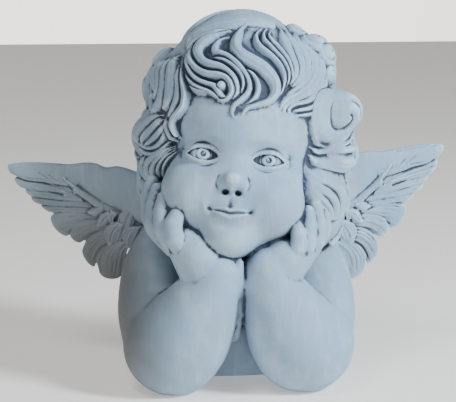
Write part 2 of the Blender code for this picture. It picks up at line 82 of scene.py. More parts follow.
# A calm infant's face on plain proportions: soft masses as centre and radii in the head's frame
FACE_MASSES = (
    ((0, 6, 6), (54, 60, 58)),
    ((0, -22, 6), (43, 36, 36)),
    ((0, -13, -32), (46, 43, 42)),
    ((-25, -31, -46), (23, 24, 23)),
    ((25, -31, -46), (23, 24, 23)),
    ((0, -20, -60), (31, 32, 24)),
    ((0, -40, -73), (16, 14.5, 12)),
    ((0, -40, -56), (17, 14, 13)),
)
FACE_BLEND = 3.2
NOSE = (
    ((0, -47.5, -24), (4.4, 6.4, 10.5)),
    ((0, -55.8, -35.2), (6.2, 6.4, 5.4)),
    ((-6.2, -51.8, -37.4), (3.9, 5.0, 3.9)),
    ((6.2, -51.8, -37.4), (3.9, 5.0, 3.9)),
    ((0, -53.0, -40.2), (2.4, 6.0, 2.6)),
)
NOSE_BLEND = 1.5
NOSTRIL_APART, NOSTRIL_AT, NOSTRIL_RADII, NOSTRIL_BLEND = 4.1, (-54.2, -43.5), (1.6, 3.0, 1.2), 1.3
NOSE_WING_AT, NOSE_WING_FOLD = (6.2, -37.4), 4.6
EYE_APART, EYE_LINE, EYE_SLANT = 21.5, -20, 0.05
SOCKET_DEPTH, SOCKET_WIDTH, SOCKET_HEIGHT = 4.5, 13, 9.5
EYEBALL_BACK, EYEBALL_RADIUS = -37.5, 11.6
LID_THICKNESS, LID_BLEND = 1.25, 1.2
LID_OPENING, UPPER_LID_ARCH, LOWER_LID_ARCH = 10.6, 5.2, 3.8
IRIS_RADIUS, PUPIL_RADIUS, GAZE_UP = 4.9, 1.9, 0.8
MOUTH_LINE, MOUTH_HALF, UPPER_LIP, LOWER_LIP = -56.6, 13.2, 4.0, 5.2
# How far these stand out, or are cut in, then where they lie and how wide they are
UPPER_LIP_OUT, LOWER_LIP_OUT, LIP_SEAM_IN, LIP_SEAM_HALF = 1.25, 1.9, 0.85, 0.9
MOUTH_CORNER_IN, SMILE_OUT, SMILE_AT = 1.2, 0.8, 3.8
PHILTRUM_OUT, PHILTRUM_IN, PHILTRUM_TOP = 0.25, 0.40, -43.5
CHIN_FOLD_IN, CHIN_FOLD_AT = 1.3, 9.0
BROW_OUT, BROW_OVER_EYE, BROW_MIDDLE, BROW_HALF = 0.9, 12.5, 21, 11
CHEEK_OUT, CHEEK_AT = 0.9, (27, -42)
IRIS_IN, PUPIL_IN, GLINT_IN = 0.5, 1.2, 1.0
UPPER_CREASE_IN, LOWER_CREASE_IN, LID_CREASE_OFF = 1.0, 0.5, 3.2
NOSE_WING_IN = 0.7

# The mass of hair that the locks lie on
HAIR_MASSES = (
    ((-3, 8, 13), (60.5, 65, 78)),
    ((-45, 8, -30), (20, 25, 30)),
    ((-62, -2, -4), (12.5, 14, 14)),
    ((-45, 2, 34), (20, 22, 20)),
    ((52, 6, -36), (27, 28, 36)),
    ((66, -5, 27), (13.5, 14, 13.5)),
    ((66, 2, -2), (14, 18, 14)),
    ((50, 4, 18), (22, 20, 22)),
    ((39, 4, 46), (20, 22, 20)),
    ((42, 3, 61), (14, 16, 14)),
    ((0, 48, -30), (46, 22, 36)),
)
HAIR_BLEND = 4.0
# How deep the ground between the locks lies, and where it ends over the face: above and beside the brow in
# degrees, how much wider lower down, and the length at which its rays end under the skin
HAIR_FLOOR = -1.3
HAIRLINE_UP, HAIRLINE_LEFT, HAIRLINE_RIGHT, HAIRLINE_SPREAD = 11, -36, 40, 0.42
UNDER_FACE = 40
# Between which lengths the rays meet the face and the hair, and how far the bare skull reaches behind
FACE_SPAN, HAIR_SPAN, SKULL = (25, 85), (40, 112), 42

# Locks of hair: the height of the crest over the mass, how deep the sides fall, and the route as bearing
# and height in degrees with the width in units. Where locks cross, the higher one shows.
LOCKS = (
    (1.6, 1.6, ((-50.1, 38.9, 6.3), (-50.6, 45.5, 8.8), (-43.2, 51.0, 15.0), (-32.0, 54.6, 16.3),
     (-18.3, 57.7, 17.6), (-3.9, 61.5, 16.3), (11.1, 62.1, 12.5), (24.5, 61.2, 7.5))),
    (1.8, 2.0, ((-16.5, 50.7, 2.9), (-26.3, 47.2, 4.8), (-34.9, 44.4, 6.3), (-40.6, 42.2, 6.3),
     (-43.8, 39.0, 5.6), (-44.5, 34.9, 4.4))),
    (3.2, 2.6, ((-41.9, 40.2, 6.3), (-42.0, 34.0, 8.2), (-39.3, 28.6, 6.4), (-34.5, 24.0, 5.4),
     (-28.2, 19.8, 5.7), (-21.9, 17.8, 6.0), (-15.7, 17.4, 6.0), (-10.8, 16.0, 5.7), (-7.5, 12.8, 5.2),
     (-6.2, 8.9, 4.9), (-7.2, 5.4, 4.7), (-9.7, 3.2, 4.0), (-13.1, 3.2, 3.3))),
    (2.8, 2.4, ((-45.6, 34.4, 4.6), (-42.1, 28.2, 4.7), (-37.5, 22.9, 4.2), (-32.8, 17.9, 4.1),
     (-27.4, 14.2, 4.3), (-21.4, 12.2, 4.3), (-17.0, 10.9, 4.9), (-14.3, 8.2, 5.2), (-11.7, 5.6, 4.6),
     (-8.8, 4.9, 2.6))),
    (2.4, 2.0, ((-40.0, 21.3, 2.3), (-35.6, 16.2, 2.8), (-30.3, 11.9, 3.3), (-25.2, 9.6, 3.3),
     (-20.7, 8.2, 3.3), (-16.9, 6.4, 3.3), (-13.1, 3.8, 2.9))),
    (1.8, 1.6, ((-34.4, 12.0, 1.7), (-29.0, 9.0, 2.3), (-23.7, 7.6, 2.3), (-20.0, 7.1, 1.7))),
    (3.0, 2.6, ((-15.7, 49.1, 4.5), (-22.4, 46.0, 7.2), (-28.8, 43.0, 9.7), (-33.4, 39.6, 11.1),
     (-35.2, 35.6, 9.9), (-33.2, 30.9, 7.4), (-28.1, 26.3, 6.7), (-21.4, 23.8, 6.8), (-15.6, 22.8, 6.0),
     (-10.4, 20.4, 5.1), (-6.4, 17.0, 5.0), (-3.9, 12.6, 4.9), (-3.3, 8.0, 4.6), (-4.9, 4.5, 3.6))),
    (2.4, 2.2, ((-23.7, 29.4, 1.9), (-18.0, 28.0, 3.0), (-12.0, 26.1, 3.6), (-7.3, 23.5, 3.8),
     (-3.4, 20.3, 3.7), (-0.9, 16.4, 3.6), (-0.2, 12.4, 3.2), (-0.9, 8.3, 2.9))),
    (3.0, 2.6, ((-14.6, 44.1, 4.0), (-20.8, 40.8, 7.8), (-22.4, 36.6, 6.9), (-20.7, 32.6, 5.3),
     (-16.2, 30.9, 4.9), (-12.1, 29.6, 4.8), (-7.9, 27.1, 5.0), (-3.9, 24.1, 4.9), (-0.5, 20.6, 4.5),
     (2.2, 16.8, 4.4), (3.5, 12.3, 4.6), (2.5, 8.2, 4.9), (-0.4, 4.4, 5.2), (-3.6, 0.6, 5.2),
     (-4.6, -3.4, 4.5), (-3.1, -6.5, 3.6), (-0.2, -8.4, 2.3))),
    (2.4, 2.4, ((-1.4, 23.5, 1.8), (2.3, 21.6, 3.2), (5.5, 19.1, 4.3), (7.9, 15.4, 4.8), (8.5, 10.8, 4.6),
     (7.2, 6.5, 4.5), (4.2, 3.3, 3.9))),
    (2.6, 2.4, ((11.0, 55.6, 2.7), (6.0, 49.0, 3.4), (5.4, 43.6, 4.0), (8.0, 39.2, 4.7), (12.9, 36.1, 4.8),
     (17.7, 33.2, 4.8), (21.9, 29.7, 4.9), (24.5, 25.3, 4.7), (25.1, 20.6, 3.9), (24.2, 15.5, 3.3),
     (22.1, 10.3, 2.5))),
    (2.4, 2.4, ((16.0, 56.7, 2.0), (11.7, 50.2, 2.7), (11.4, 44.7, 3.5), (15.0, 41.3, 3.9),
     (19.5, 37.5, 4.2), (24.4, 33.5, 4.3), (27.7, 28.6, 4.3), (28.5, 23.2, 3.7), (27.3, 18.0, 2.7))),
    (2.4, 2.4, ((19.7, 55.8, 2.1), (15.8, 48.7, 3.2), (17.7, 44.7, 4.2), (22.0, 41.5, 4.8),
     (26.2, 37.9, 4.9), (29.6, 33.5, 4.9), (31.2, 28.2, 4.2), (31.3, 23.3, 3.2))),
    (3.9, 3.4, ((-0.3, 58.2, 6.7), (-6.2, 52.1, 7.4), (-8.5, 46.0, 8.0), (-8.9, 40.1, 8.0),
     (-7.1, 34.9, 8.9), (-2.4, 30.9, 10.6), (3.8, 28.3, 11.2), (10.2, 25.7, 10.9), (15.4, 22.1, 10.2),
     (18.7, 18.0, 9.3), (19.6, 13.4, 8.0), (18.3, 9.0, 6.7), (14.4, 5.1, 5.8), (8.8, 2.5, 5.2),
     (4.2, 0.2, 4.5), (1.7, -2.7, 3.6), (0.9, -5.6, 1.9))),
    (2.4, 1.8, ((33.1, 61.0, 3.8), (31.2, 51.7, 6.9), (32.0, 44.7, 7.6), (33.6, 38.4, 7.2),
     (35.3, 32.4, 6.7), (33.9, 25.7, 5.6), (30.3, 20.0, 3.8))),
    (2.6, 1.6, ((42.8, 62.9, 5.0), (39.4, 52.3, 8.2), (41.4, 44.9, 8.2), (42.3, 37.9, 8.0),
     (41.2, 31.3, 6.8), (37.2, 24.1, 5.4), (31.8, 18.5, 3.6))),
    (2.7, 1.6, ((66.9, 66.9, 5.0), (49.8, 53.6, 8.2), (49.5, 45.1, 8.2), (49.4, 38.1, 7.7),
     (46.1, 30.6, 7.4), (40.7, 23.1, 5.9), (34.2, 17.2, 3.8), (28.2, 12.8, 2.6))),
    (2.9, 1.8, ((66.9, 62.0, 6.3), (56.0, 50.3, 11.2), (56.1, 42.4, 10.6), (56.2, 35.8, 10.4),
     (52.2, 28.8, 10.1), (44.4, 21.5, 7.2), (35.9, 15.2, 5.2), (29.0, 10.6, 4.4), (25.1, 6.2, 3.9),
     (23.5, 2.4, 2.9))),
    (2.7, 1.6, ((59.8, 49.9, 8.0), (61.9, 41.5, 9.5), (62.8, 34.4, 9.6), (58.2, 27.3, 8.8),
     (48.3, 19.3, 6.9), (38.5, 13.3, 4.4), (31.3, 9.3, 4.0), (27.2, 5.8, 3.9), (25.8, 2.2, 3.9),
     (27.9, -0.3, 2.3))),
    (2.5, 1.6, ((65.9, 37.5, 6.4), (66.3, 30.6, 9.1), (60.9, 23.4, 6.8), (51.4, 16.3, 6.0),
     (42.1, 11.1, 4.1), (34.5, 8.2, 3.6), (30.1, 5.2, 3.2), (29.3, 2.3, 3.3), (32.1, 1.1, 2.0))),
    (2.3, 1.6, ((68.8, 27.3, 5.4), (63.4, 19.6, 5.7), (57.5, 13.8, 5.6), (48.2, 8.8, 4.2),
     (39.8, 5.7, 3.3), (34.1, 3.9, 2.6))),
    (2.1, 1.6, ((68.9, 22.8, 4.0), (64.3, 16.0, 5.8), (61.8, 11.1, 5.0), (54.8, 7.1, 3.9),
     (44.6, 3.7, 3.0), (36.0, 1.3, 2.0))),
    (1.4, 1.8, ((-66.2, 29.4, 6.3), (-72.3, 25.8, 8.8), (-72.3, 21.0, 9.4), (-70.2, 15.8, 8.8),
     (-66.5, 11.1, 6.3))),
    (2.0, 2.0, ((-60.8, 31.1, 5.0), (-66.2, 26.1, 6.9), (-65.9, 20.6, 6.9), (-64.2, 15.4, 6.9),
     (-63.8, 10.3, 6.3), (-66.8, 6.6, 5.0))),
    (1.6, 1.8, ((-69.0, 10.3, 5.0), (-72.2, 6.6, 7.5), (-70.2, 2.3, 6.9), (-64.0, -1.9, 4.5))),
    (2.4, 2.2, ((-57.1, 32.2, 5.0), (-61.0, 27.2, 6.9), (-60.7, 21.6, 7.5), (-58.2, 15.6, 8.2),
     (-57.6, 9.7, 8.8), (-58.8, 4.0, 10.0), (-62.8, 0.3, 9.4), (-66.0, -2.3, 5.0))),
    (2.8, 2.2, ((-52.8, 32.5, 5.0), (-54.7, 27.5, 8.8), (-52.6, 21.1, 11.2), (-50.2, 14.9, 11.8),
     (-48.6, 8.8, 11.7), (-49.1, 3.6, 10.0), (-51.7, -0.8, 6.1))),
    (2.0, 1.8, ((-47.9, 25.6, 3.4), (-45.0, 18.0, 4.8), (-42.1, 10.7, 5.4), (-41.4, 4.2, 6.4),
     (-43.2, -1.4, 6.5), (-46.3, -5.7, 5.2))),
    (2.6, 2.4, ((-45.6, 26.6, 3.2), (-42.5, 20.2, 3.8), (-39.3, 14.6, 4.4), (-36.7, 9.2, 5.1),
     (-35.4, 4.5, 5.6), (-36.0, -0.6, 5.6), (-39.3, -4.4, 5.7), (-42.7, -7.6, 5.3), (-43.8, -11.5, 5.0),
     (-42.2, -15.4, 4.1), (-39.5, -18.8, 2.2))),
    (1.8, 2.0, ((-54.2, -4.9, 3.1), (-64.0, -5.1, 6.4), (-69.2, -7.2, 8.3), (-71.3, -10.6, 8.7),
     (-72.7, -14.4, 8.2), (-72.1, -18.1, 4.9))),
    (2.2, 2.0, ((-52.9, -7.6, 4.3), (-59.3, -9.3, 7.0), (-65.0, -12.3, 6.8), (-68.0, -15.6, 6.4),
     (-70.0, -19.1, 4.0))),
    (2.2, 2.0, ((-50.7, -10.0, 3.9), (-54.4, -13.7, 6.0), (-60.9, -16.8, 6.1), (-66.2, -19.2, 4.5),
     (-69.2, -20.4, 2.0))),
    (1.8, 1.8, ((-52.3, -13.3, 3.5), (-52.2, -17.8, 5.1), (-57.6, -21.3, 5.0), (-64.6, -22.6, 3.7),
     (-69.3, -21.3, 3.9), (-71.6, -18.5, 2.6))),
    (1.2, 1.6, ((-50.9, -7.1, 3.5), (-49.8, -12.3, 4.9), (-47.1, -16.9, 4.5), (-43.9, -20.3, 2.8))),
    (1.0, 1.6, ((-47.6, -20.8, 3.4), (-55.6, -24.5, 4.5), (-65.1, -25.8, 4.1), (-71.2, -24.5, 4.6),
     (-72.9, -21.2, 4.1))),
    (2.0, 1.8, ((-45.3, -24.1, 2.1), (-54.8, -25.9, 4.1), (-65.5, -27.9, 5.6), (-71.8, -30.1, 7.3),
     (-72.0, -33.4, 6.5), (-67.8, -37.2, 3.5))),
    (2.4, 1.8, ((-45.5, -25.2, 1.8), (-54.9, -27.8, 3.6), (-62.7, -30.4, 4.9), (-66.5, -33.6, 6.4),
     (-65.3, -37.1, 4.8), (-62.2, -41.0, 2.3))),
    (2.2, 1.8, ((-44.8, -26.3, 1.9), (-53.2, -29.3, 3.2), (-59.4, -32.4, 4.1), (-61.9, -35.5, 4.0),
     (-60.9, -39.4, 2.5))),
    (1.8, 1.6, ((-44.2, -27.4, 2.0), (-50.6, -30.8, 3.0), (-55.4, -34.0, 3.6), (-57.7, -37.3, 3.1),
     (-58.0, -40.4, 2.1))),
    (1.6, 1.8, ((-73.4, -25.6, 6.1), (-79.7, -29.7, 8.2), (-74.2, -34.7, 7.8), (-67.7, -39.2, 4.6),
     (-63.4, -43.8, 2.3))),
    (1.4, 1.8, ((-81.4, -32.6, 6.3), (-82.3, -36.8, 8.2), (-76.0, -41.3, 8.2), (-71.4, -45.7, 4.0))),
    (0.8, 1.6, ((-72.3, -39.0, 5.6), (-70.6, -42.6, 5.0), (-70.3, -46.5, 3.8))),
    (1.6, 1.6, ((55.5, -9.6, 3.5), (62.5, -11.8, 3.5), (66.1, -11.0, 3.7), (68.8, -8.5, 3.7),
     (73.1, -5.3, 3.4))),
    (2.0, 1.8, ((56.6, -15.3, 3.8), (63.0, -16.4, 4.4), (66.5, -14.9, 4.7), (69.2, -11.8, 5.4),
     (73.8, -9.1, 6.1), (79.5, -7.5, 5.4))),
    (2.4, 2.0, ((57.6, -20.3, 2.4), (61.6, -21.9, 5.6), (65.2, -21.7, 7.9), (69.4, -20.2, 8.4),
     (74.1, -18.0, 10.3), (81.8, -14.7, 14.1))),
    (2.4, 2.0, ((58.1, -27.3, 2.2), (60.0, -29.3, 4.7), (63.2, -29.0, 6.6), (67.8, -28.0, 7.3),
     (72.9, -28.1, 8.9), (76.3, -30.0, 10.7), (76.8, -33.1, 9.4), (73.9, -37.0, 6.9), (72.1, -40.0, 3.9))),
    (2.2, 1.8, ((58.0, -31.8, 2.1), (60.1, -33.0, 4.2), (63.3, -33.0, 5.3), (67.2, -33.0, 5.7),
     (70.6, -34.2, 6.8), (71.8, -37.0, 6.3), (71.0, -40.5, 4.6))),
    (2.4, 1.8, ((57.9, -35.0, 2.1), (60.3, -36.0, 3.4), (63.8, -36.5, 4.2), (67.3, -37.4, 4.5),
     (69.7, -39.4, 4.3), (69.9, -41.8, 2.6))),
    (2.2, 1.8, ((58.2, -38.0, 2.7), (60.5, -38.9, 3.4), (63.3, -39.0, 3.7), (66.2, -39.5, 3.2),
     (67.9, -41.5, 3.1))),
    (2.0, 1.8, ((58.9, -41.2, 2.7), (61.1, -42.5, 3.3), (63.7, -43.7, 3.7), (67.2, -43.5, 3.4),
     (71.0, -42.1, 2.1))),
    (1.2, 1.6, ((78.5, -19.1, 10.0), (86.6, -21.6, 11.3), (86.8, -25.0, 9.0), (87.3, -29.1, 9.2),
     (82.6, -33.6, 7.5))),
)

# Round curls: bearing, height, radius, turns, swell, the direction that they face, and where the eye lies
CURLS = (
    (-12.5, 11.5, 2.9, 0.8, 0.9, -14, 6, (0, 0)),
    (66.5, 6.0, 20.0, 1.9, 0.24, 44, 6, (0.36, -0.05)),
    (70.5, 63.5, 7.5, 1.2, 0.5, 60, 50, (0, 0)),
    (70, 51, 8.5, 1.3, 0.40, 70, 40, (0, 0)),
    (74, 42, 8.5, 1.3, 0.40, 74, 30, (0, 0)),
    (72.0, 32.5, 5.0, 1.0, 0.55, 76, 24, (0, 0)),
    (-88, 34.5, 9.0, 1.4, 0.40, -88, 26, (0, 0)),
    (-92, 16, 10.0, 1.4, 0.40, -92, 10, (0, 0)),
    (-100, -3, 12.0, 1.4, 0.40, -100, -4, (0, 0)),
    (100, 20, 12.0, 1.4, 0.40, 98, 20, (0, 0)),
    (106, 2, 11.0, 1.4, 0.40, 106, 0, (0, 0)),
)

# Rows of locks round the back of the head: height, how many, the sway of each, and its length
BACK_ROWS = (
    (66, 8, 30, 34),
    (42, 11, -24, 32),
    (18, 12, 24, 32),
    (-6, 12, -22, 30),
    (-30, 10, 20, 28),
)
BACK_FROM, BACK_TO = 92, 268
# The three strands of a lock there: how far apart in degrees, crest, the middle one's extra, and fall
STRAND_APART, STRAND_CREST, MIDDLE_CREST, STRAND_FALL = 5.2, 2.2, 0.5, 2.6

# Torso: level sections from the underside to the neck, as height, centre y, half width and half depth
TORSO_SECTIONS = (
    (-6, 22, 50, 27),
    (20, 20, 54, 31),
    (55, 20, 57, 34),
    (85, 20, 60, 33),
    (102, 20, 52, 29),
    (118, 16, 34, 26),
    (140, 14, 26, 26),
)
THROAT = ((-2, -24, 72), (13, 25, 34))
# Arms: the left one's, as x outwards, y, z and radius
UPPER_ARM = ((46, 20, 88, 23), (53, 6, 74, 25), (55, -12, 54, 26), (49, -26, 40, 30), (43, -36, 32.5, 34))
FOREARM = ((42, -36, 32.5, 34), (34, -43, 44, 31.5), (26, -49, 60, 26), (19.5, -52, 76, 20),
           (18.5, -52, 84, 18))
# How far each arm is set out to its side, at the elbow and at the shoulder
ARM_SETS = {-1: (3.0, -2.5), 1: (1.0, 1.5)}
SHOULDER_HEIGHT = 88
WEB = ((-2.5, -57, 92, 3.4), (-2.5, -59, 80, 3.4), (-2.5, -55, 66, 3.4),
       (-2.5, -46, 50, 3.6), (-2.5, -34, 40, 4.2), (-2.5, -20, 34, 5.0))

# Hands: the palm as x, y, z and radius, then four fingers from the near one back, with the radius as a
# share of FINGER_HALF; each finger's knuckles are given by place along it and swell
FINGER_HALF = 5.9
KNUCKLES = ((0.36, 0.06), (0.7, 0.05), (0.92, 0.03))
LEFT_PALM = ((-22, -51, 84, 17), (-28, -51, 94, 17), (-36, -47, 103, 14), (-44, -41, 108, 10))
RIGHT_PALM = ((20, -51, 82, 17), (28, -50, 90, 16.5), (38, -46, 96, 13), (45, -42, 99, 9.5))
LEFT_FINGERS = (
    ((-38, -54, 100, 1.10), (-44, -56, 109, 1.08), (-45, -55, 118, 1.02), (-41, -51, 126, 0.86)),
    ((-43, -49, 100, 1.02), (-51, -50, 112, 0.98), (-52, -46, 124, 0.92), (-50, -41, 134, 0.78)),
    ((-45, -42, 100, 1.00), (-57, -42, 114, 0.95), (-57, -37, 127, 0.88), (-54, -32, 138, 0.74)),
    ((-44, -34, 102, 1.00), (-58, -32, 116, 0.95), (-60, -26, 130, 0.88), (-57, -20, 141, 0.74)),
)
RIGHT_FINGERS = (
    ((30, -54, 92, 0.98), (36, -57, 101, 0.94), (37, -55, 110, 0.86), (35, -51, 117, 0.74)),
    ((36, -51, 91, 1.00), (43, -53, 102, 0.94), (45, -49, 114, 0.86), (45, -43, 123, 0.74)),
    ((40, -46, 91, 1.00), (50, -46, 103, 0.95), (52, -42, 115, 0.88), (51, -36, 125, 0.74)),
    ((42, -38, 94, 1.00), (54, -38, 106, 0.95), (57, -33, 118, 0.88), (56, -26, 129, 0.74)),
)

# Wings. Their own frame: u outwards from the root, v up, both in units
WING_ROOT = np.array((58.0, 40.0, 128.0))
# Degrees that a wing is swept back and that each rises; how far each is spread, and how far it hangs
WING_SWEEP_BACK = 6
WING_RISES = {-1: -2.0, 1: 3.0}
WING_REACHES = {-1: 98 / 96, 1: 101.5 / 96}
WING_DROPS = {-1: 0.0, 1: 1.0}
# Forms of a wing, each between two edges in u and v: how far it lies forward, its thickness at the root
# and the tip, how far one edge is tilted forward, how far the rounded end reaches, and its carved lines
WING_FORMS = (
    # the backing plate
    (((-16, 6), (20, 8), (52, 12), (80, 17), (90, 18)),
     ((-16, -36), (12, -40), (40, -24), (66, -10), (86, 8)),
     -1.2, 7.0, 3.0, 0.0, 2, 0),
    # pointed feathers, from the top one down
    (((38, 17.8), (52, 17.9), (69, 19.6), (85, 20.2), (93, 19.4)),
     ((49, 1.7), (61, 3.6), (72, 6.1), (82, 7.5), (91, 11.4)), 1.8, 6.4, 3.8, 0.06, 3.0, 2),
    (((46, 2.4), (60, 3.5), (72, 6.1), (82, 8.2), (89, 9.6)),
     ((46, -4.8), (60, -2.5), (70, -1.1), (79, 0.3), (85, 1.6)), 1.0, 4.6, 3.4, 0.16, 3.5, 3),
    (((46, -2.6), (60, -1.5), (70, -0.4), (79, 1.0), (82, 1.2)),
     ((44, -9.9), (56, -8.4), (66, -6.6), (75, -5.2), (79, -4.4)), 0.6, 4.6, 3.4, 0.16, 3.0, 3),
    (((41, -7.9), (53, -7.8), (64, -6.3), (73, -4.9), (78, -4.4)),
     ((37, -14.4), (51, -12.9), (62, -12.2), (71, -10.8), (75, -10.0)), 0.2, 4.6, 3.4, 0.16, 3.5, 3),
    (((36, -13.1), (48, -12.3), (60, -11.5), (67, -10.7), (72, -10.4)),
     ((33, -20.3), (44, -17.8), (54, -17.1), (61, -17.0), (66, -16.6)), -0.2, 4.6, 3.4, 0.16, 3.5, 3),
    # broad round feathers below
    (((30, -19.7), (41, -17.5), (50, -16.5), (58, -16.4), (66, -17.8)),
     ((31, -23.3), (39, -24.1), (46, -26.7), (51, -30.3), (56, -34.0)), 0.6, 5.0, 4.0, -0.10, 4.5, 5),
    (((28, -23.4), (38, -22.3), (46, -23.5), (51, -26.5), (54, -31.0)),
     ((27, -30.7), (34, -31.5), (39, -33.6), (43, -36.2), (46.5, -38.4)), 1.4, 5.0, 4.0, -0.12, 3.0, 5),
    (((24, -29.3), (31, -30.1), (38, -32.7), (43.5, -37.3), (46.5, -43.5)),
     ((21, -39.5), (28, -41.1), (33, -44.5), (36, -50.0), (38, -56.0)), 2.0, 5.2, 4.2, -0.12, 3.5, 5),
    (((21, -37.3), (28, -40.3), (34, -44.5), (37, -51.3), (35.5, -59.6)),
     ((12, -39.8), (15, -45.4), (16, -51.2), (17, -57.0), (19.5, -62.0)), 2.6, 5.6, 4.6, -0.08, 5.0, 7),
    (((9, -30), (8, -38), (6, -46), (4, -54)), ((-8, -30), (-8, -38), (-7, -46), (-5, -54)),
     1.0, 5.0, 4.4, 0.0, 6.0, 4),
    # small scale feathers at the root
    (((31, -11.1), (34, -12.0), (38, -13.7), (40, -15.4)),
     ((30, -16.1), (33, -18.5), (37, -19.6), (40, -18.0)),
     3.4, 4.6, 3.6, 0.0, 1.5, 2),
    (((27, -16.2), (32, -18.2), (34, -21.7), (35, -24.6)),
     ((25, -20.6), (27, -24.2), (30, -26.6), (33, -27.2)),
     4.0, 4.8, 3.6, 0.0, 1.5, 3),
    (((25, -14.9), (27, -19.1), (27, -22.7), (25, -26.0)),
     ((20, -17.9), (23, -22.1), (23, -25.0), (22, -27.8)),
     4.6, 4.6, 3.6, 0.0, 1.5, 1),
    (((22, -23.6), (28, -27.0), (31, -32.7), (29, -38.6)),
     ((15, -26.1), (17, -33.1), (19, -37.4), (23, -40.4)),
     4.4, 5.2, 4.0, 0.0, 2.0, 6),
    (((16, -15.0), (20, -20.5), (21, -25.5), (19, -31.0)), ((7, -17.7), (9, -23.9), (11, -29.0), (14, -32.7)),
     4.8, 5.2, 4.0, 0.0, 1.5, 3),
    (((13, -27.6), (17, -32.3), (18, -37.3), (16, -41.2)), ((3, -27.8), (6, -34.0), (9, -39.1), (12, -42.0)),
     4.2, 5.0, 4.0, 0.0, 2.0, 5),
    # the smooth patch that the feathers grow from, below the arm
    (((58, 11), (49, 3.8), (42, -1.6), (35, -6.6), (29, -10.4), (22, -13.8), (15, -17.6), (8, -22.8),
      (-4, -28.8)),
     ((50, -0.5), (46, -4.6), (40, -9.4), (35, -13.6), (30, -16.2), (24, -18.2), (16, -21.8), (9, -26.8),
      (-4, -33)),
     3.0, 6.0, 3.6, 0.0, 2.0, 0),
    # the smooth arm along the top, down to its fold
    (((-24, 6), (-4, 8.6), (7, 11.5), (13, 13.9), (20, 15.6), (27, 14.9), (34, 18.0), (42, 18.9), (51, 18.0),
      (62, 18.2)),
     ((-24, -34), (-4, -30), (8, -24.1), (15, -18.8), (22, -15.0), (29, -11.5), (35, -7.7), (42, -2.8),
      (49, 2.6), (60, 11.3)), 2.2, 19.0, 4.0, -0.03, 3.0, 0),
)
# Short deep cuts that fan out from the fold, as two ends in u and v
WING_CUTS = (
    (51.0, -2.5, 73.7, 12.6), (51.6, -1.7, 66.2, 10.9), (51.5, -0.3, 60.1, 7.8), (50.8, 0.4, 57.4, 7.4),
    (50.4, 1.1, 54.6, 6.9), (55.7, -0.2, 72.0, 5.4), (53.0, -2.4, 68.5, 7.4), (58.0, -4.0, 74.0, 1.2),
)
CUT_DEPTH, CUT_HALF = 1.5, 0.75
# Fine lines along a lock: one for so much of its half width, in units
FINE_LINE_EVERY, MOST_FINE_LINES, HAIR_LINE_DEPTH, HAIR_LINE_HALF = 2.7, 5, 0.45, 0.6
# How much the tabled locks are raised and rounded, how steeply their sides fall, and how far out
LOCKS_RAISED, LOCKS_ROUNDED = 0.5, 1.5
LOCK_SIDE_STEEP, LOCK_SIDE_OUT = 1.6, 2.4
LOCK_SKEW, CURL_RIM = 0.22, 1.5
# A curl's groove as a share of its radius, and the deepest it gets
CURL_GROOVE, CURL_GROOVE_MOST = 0.17, 3.1
# Steps along a route for each of its rows, and the stretches in which a lock is laid
ROUTE_STEPS, STRETCH = 6, 5
# Triangles left to the plain limbs, and to the back of the hair and of the wings
LIMB_TRIANGLES, BACK_TRIANGLES = 18000, 44000
# In the head's own frame, the y up to which the hair is carved finely
FRONT_HAIR = 8
FEATHER_LINE_DEPTH, FEATHER_LINE_HALF = 0.75, 0.55
# Between which shares along a feather a line starts and ends, and how deep it is
FEATHER_LINE_SPANS = ((-0.1, 0.3), (0.65, 1.1), (0.6, 1))
# Where the kinds of surface lie: how close to its form a point is taken for hair or face, how low the hair
# reaches, the front of the head as half width, middle and half height, and the zones of wings and hands
ON_HAIR, ON_FACE, HAIR_LOWEST = 0.6, 1.0, -100
FACE_ZONE = (60, -30, 70)
WING_ZONE_X, WING_ZONE_U, WING_ZONE_V, WING_ZONE_DEPTH = 52, 2, (-82, 26), 14
HANDS_ABOVE, HANDS_BEFORE = 84, -10
# The features of the face: how far forward, half width and half height round an eye, and round the middle
FEATURES_BEFORE, EYE_ZONE, MIDDLE_ZONE, MIDDLE_HEIGHT = -25, (15, 11), (18, 18), -50
# Smooth thresholds: of a kind's share, of a share well off any joint, of how squarely a surface faces; and
# the share up to which nothing is moved
KIND_SHARE, CLEAR_SHARE, A_LITTLE = (0.02, 0.98), (0.55, 0.98), 0.02
HAIR_FACING, HAIR_STEEP = (0.35, 0.75), (0.3, 0.8)
WING_FACING, WING_BACK_FACING, WING_STEEP = (0.2, 0.6), (0.4, 0.8), (0.35, 0.8)
# How far points of the hair may be moved onto their exact form, and how far off they are left alone
HAIR_MOVE, HAIR_LEFT = 3.2, 4
WING_MOVE, WING_LEFT = 1.2, 2.2
FACE_MOVE, SKIN_MOVE = 0.4, 3
# How much of the front's carved lines shows in a wing's back
BACK_LINES = 0.6

# The front of a wing as a map over u and v: its corner, the size of a cell and how many cells
MAP_FROM, MAP_STEP, MAP_SIZE = np.array((-32.0, -88.0)), 0.3, (450, 400)
MAP_SIDES = ((1, 0), (-1, 0), (0, 1), (0, -1))

# How far the shade of near and of further forms reaches, in metres
NEAR_REACH, FAR_REACH = 0.005, 0.028
# The rays from each point: how many, how far off the surface they start, and how flat they get
SHADE_RAYS, SHADE_START, SHADE_SPREAD = 14, 0.0003, 0.97
# Recesses and ridges at two widths, in smoothing steps: share, depth in mm at which it is full, and start
HOLLOW_WIDTHS = (3, 9)
CREASES = ((0.55, 0.25, 0.08), (0.45, 0.8, 0.12))
RIDGES = ((0.5, 0.2, 0.05), (0.6, 0.8, 0.05))
# The longest triangle edge, in mm, on which a ridge still counts in full
RIDGE_SPACING = 0.9

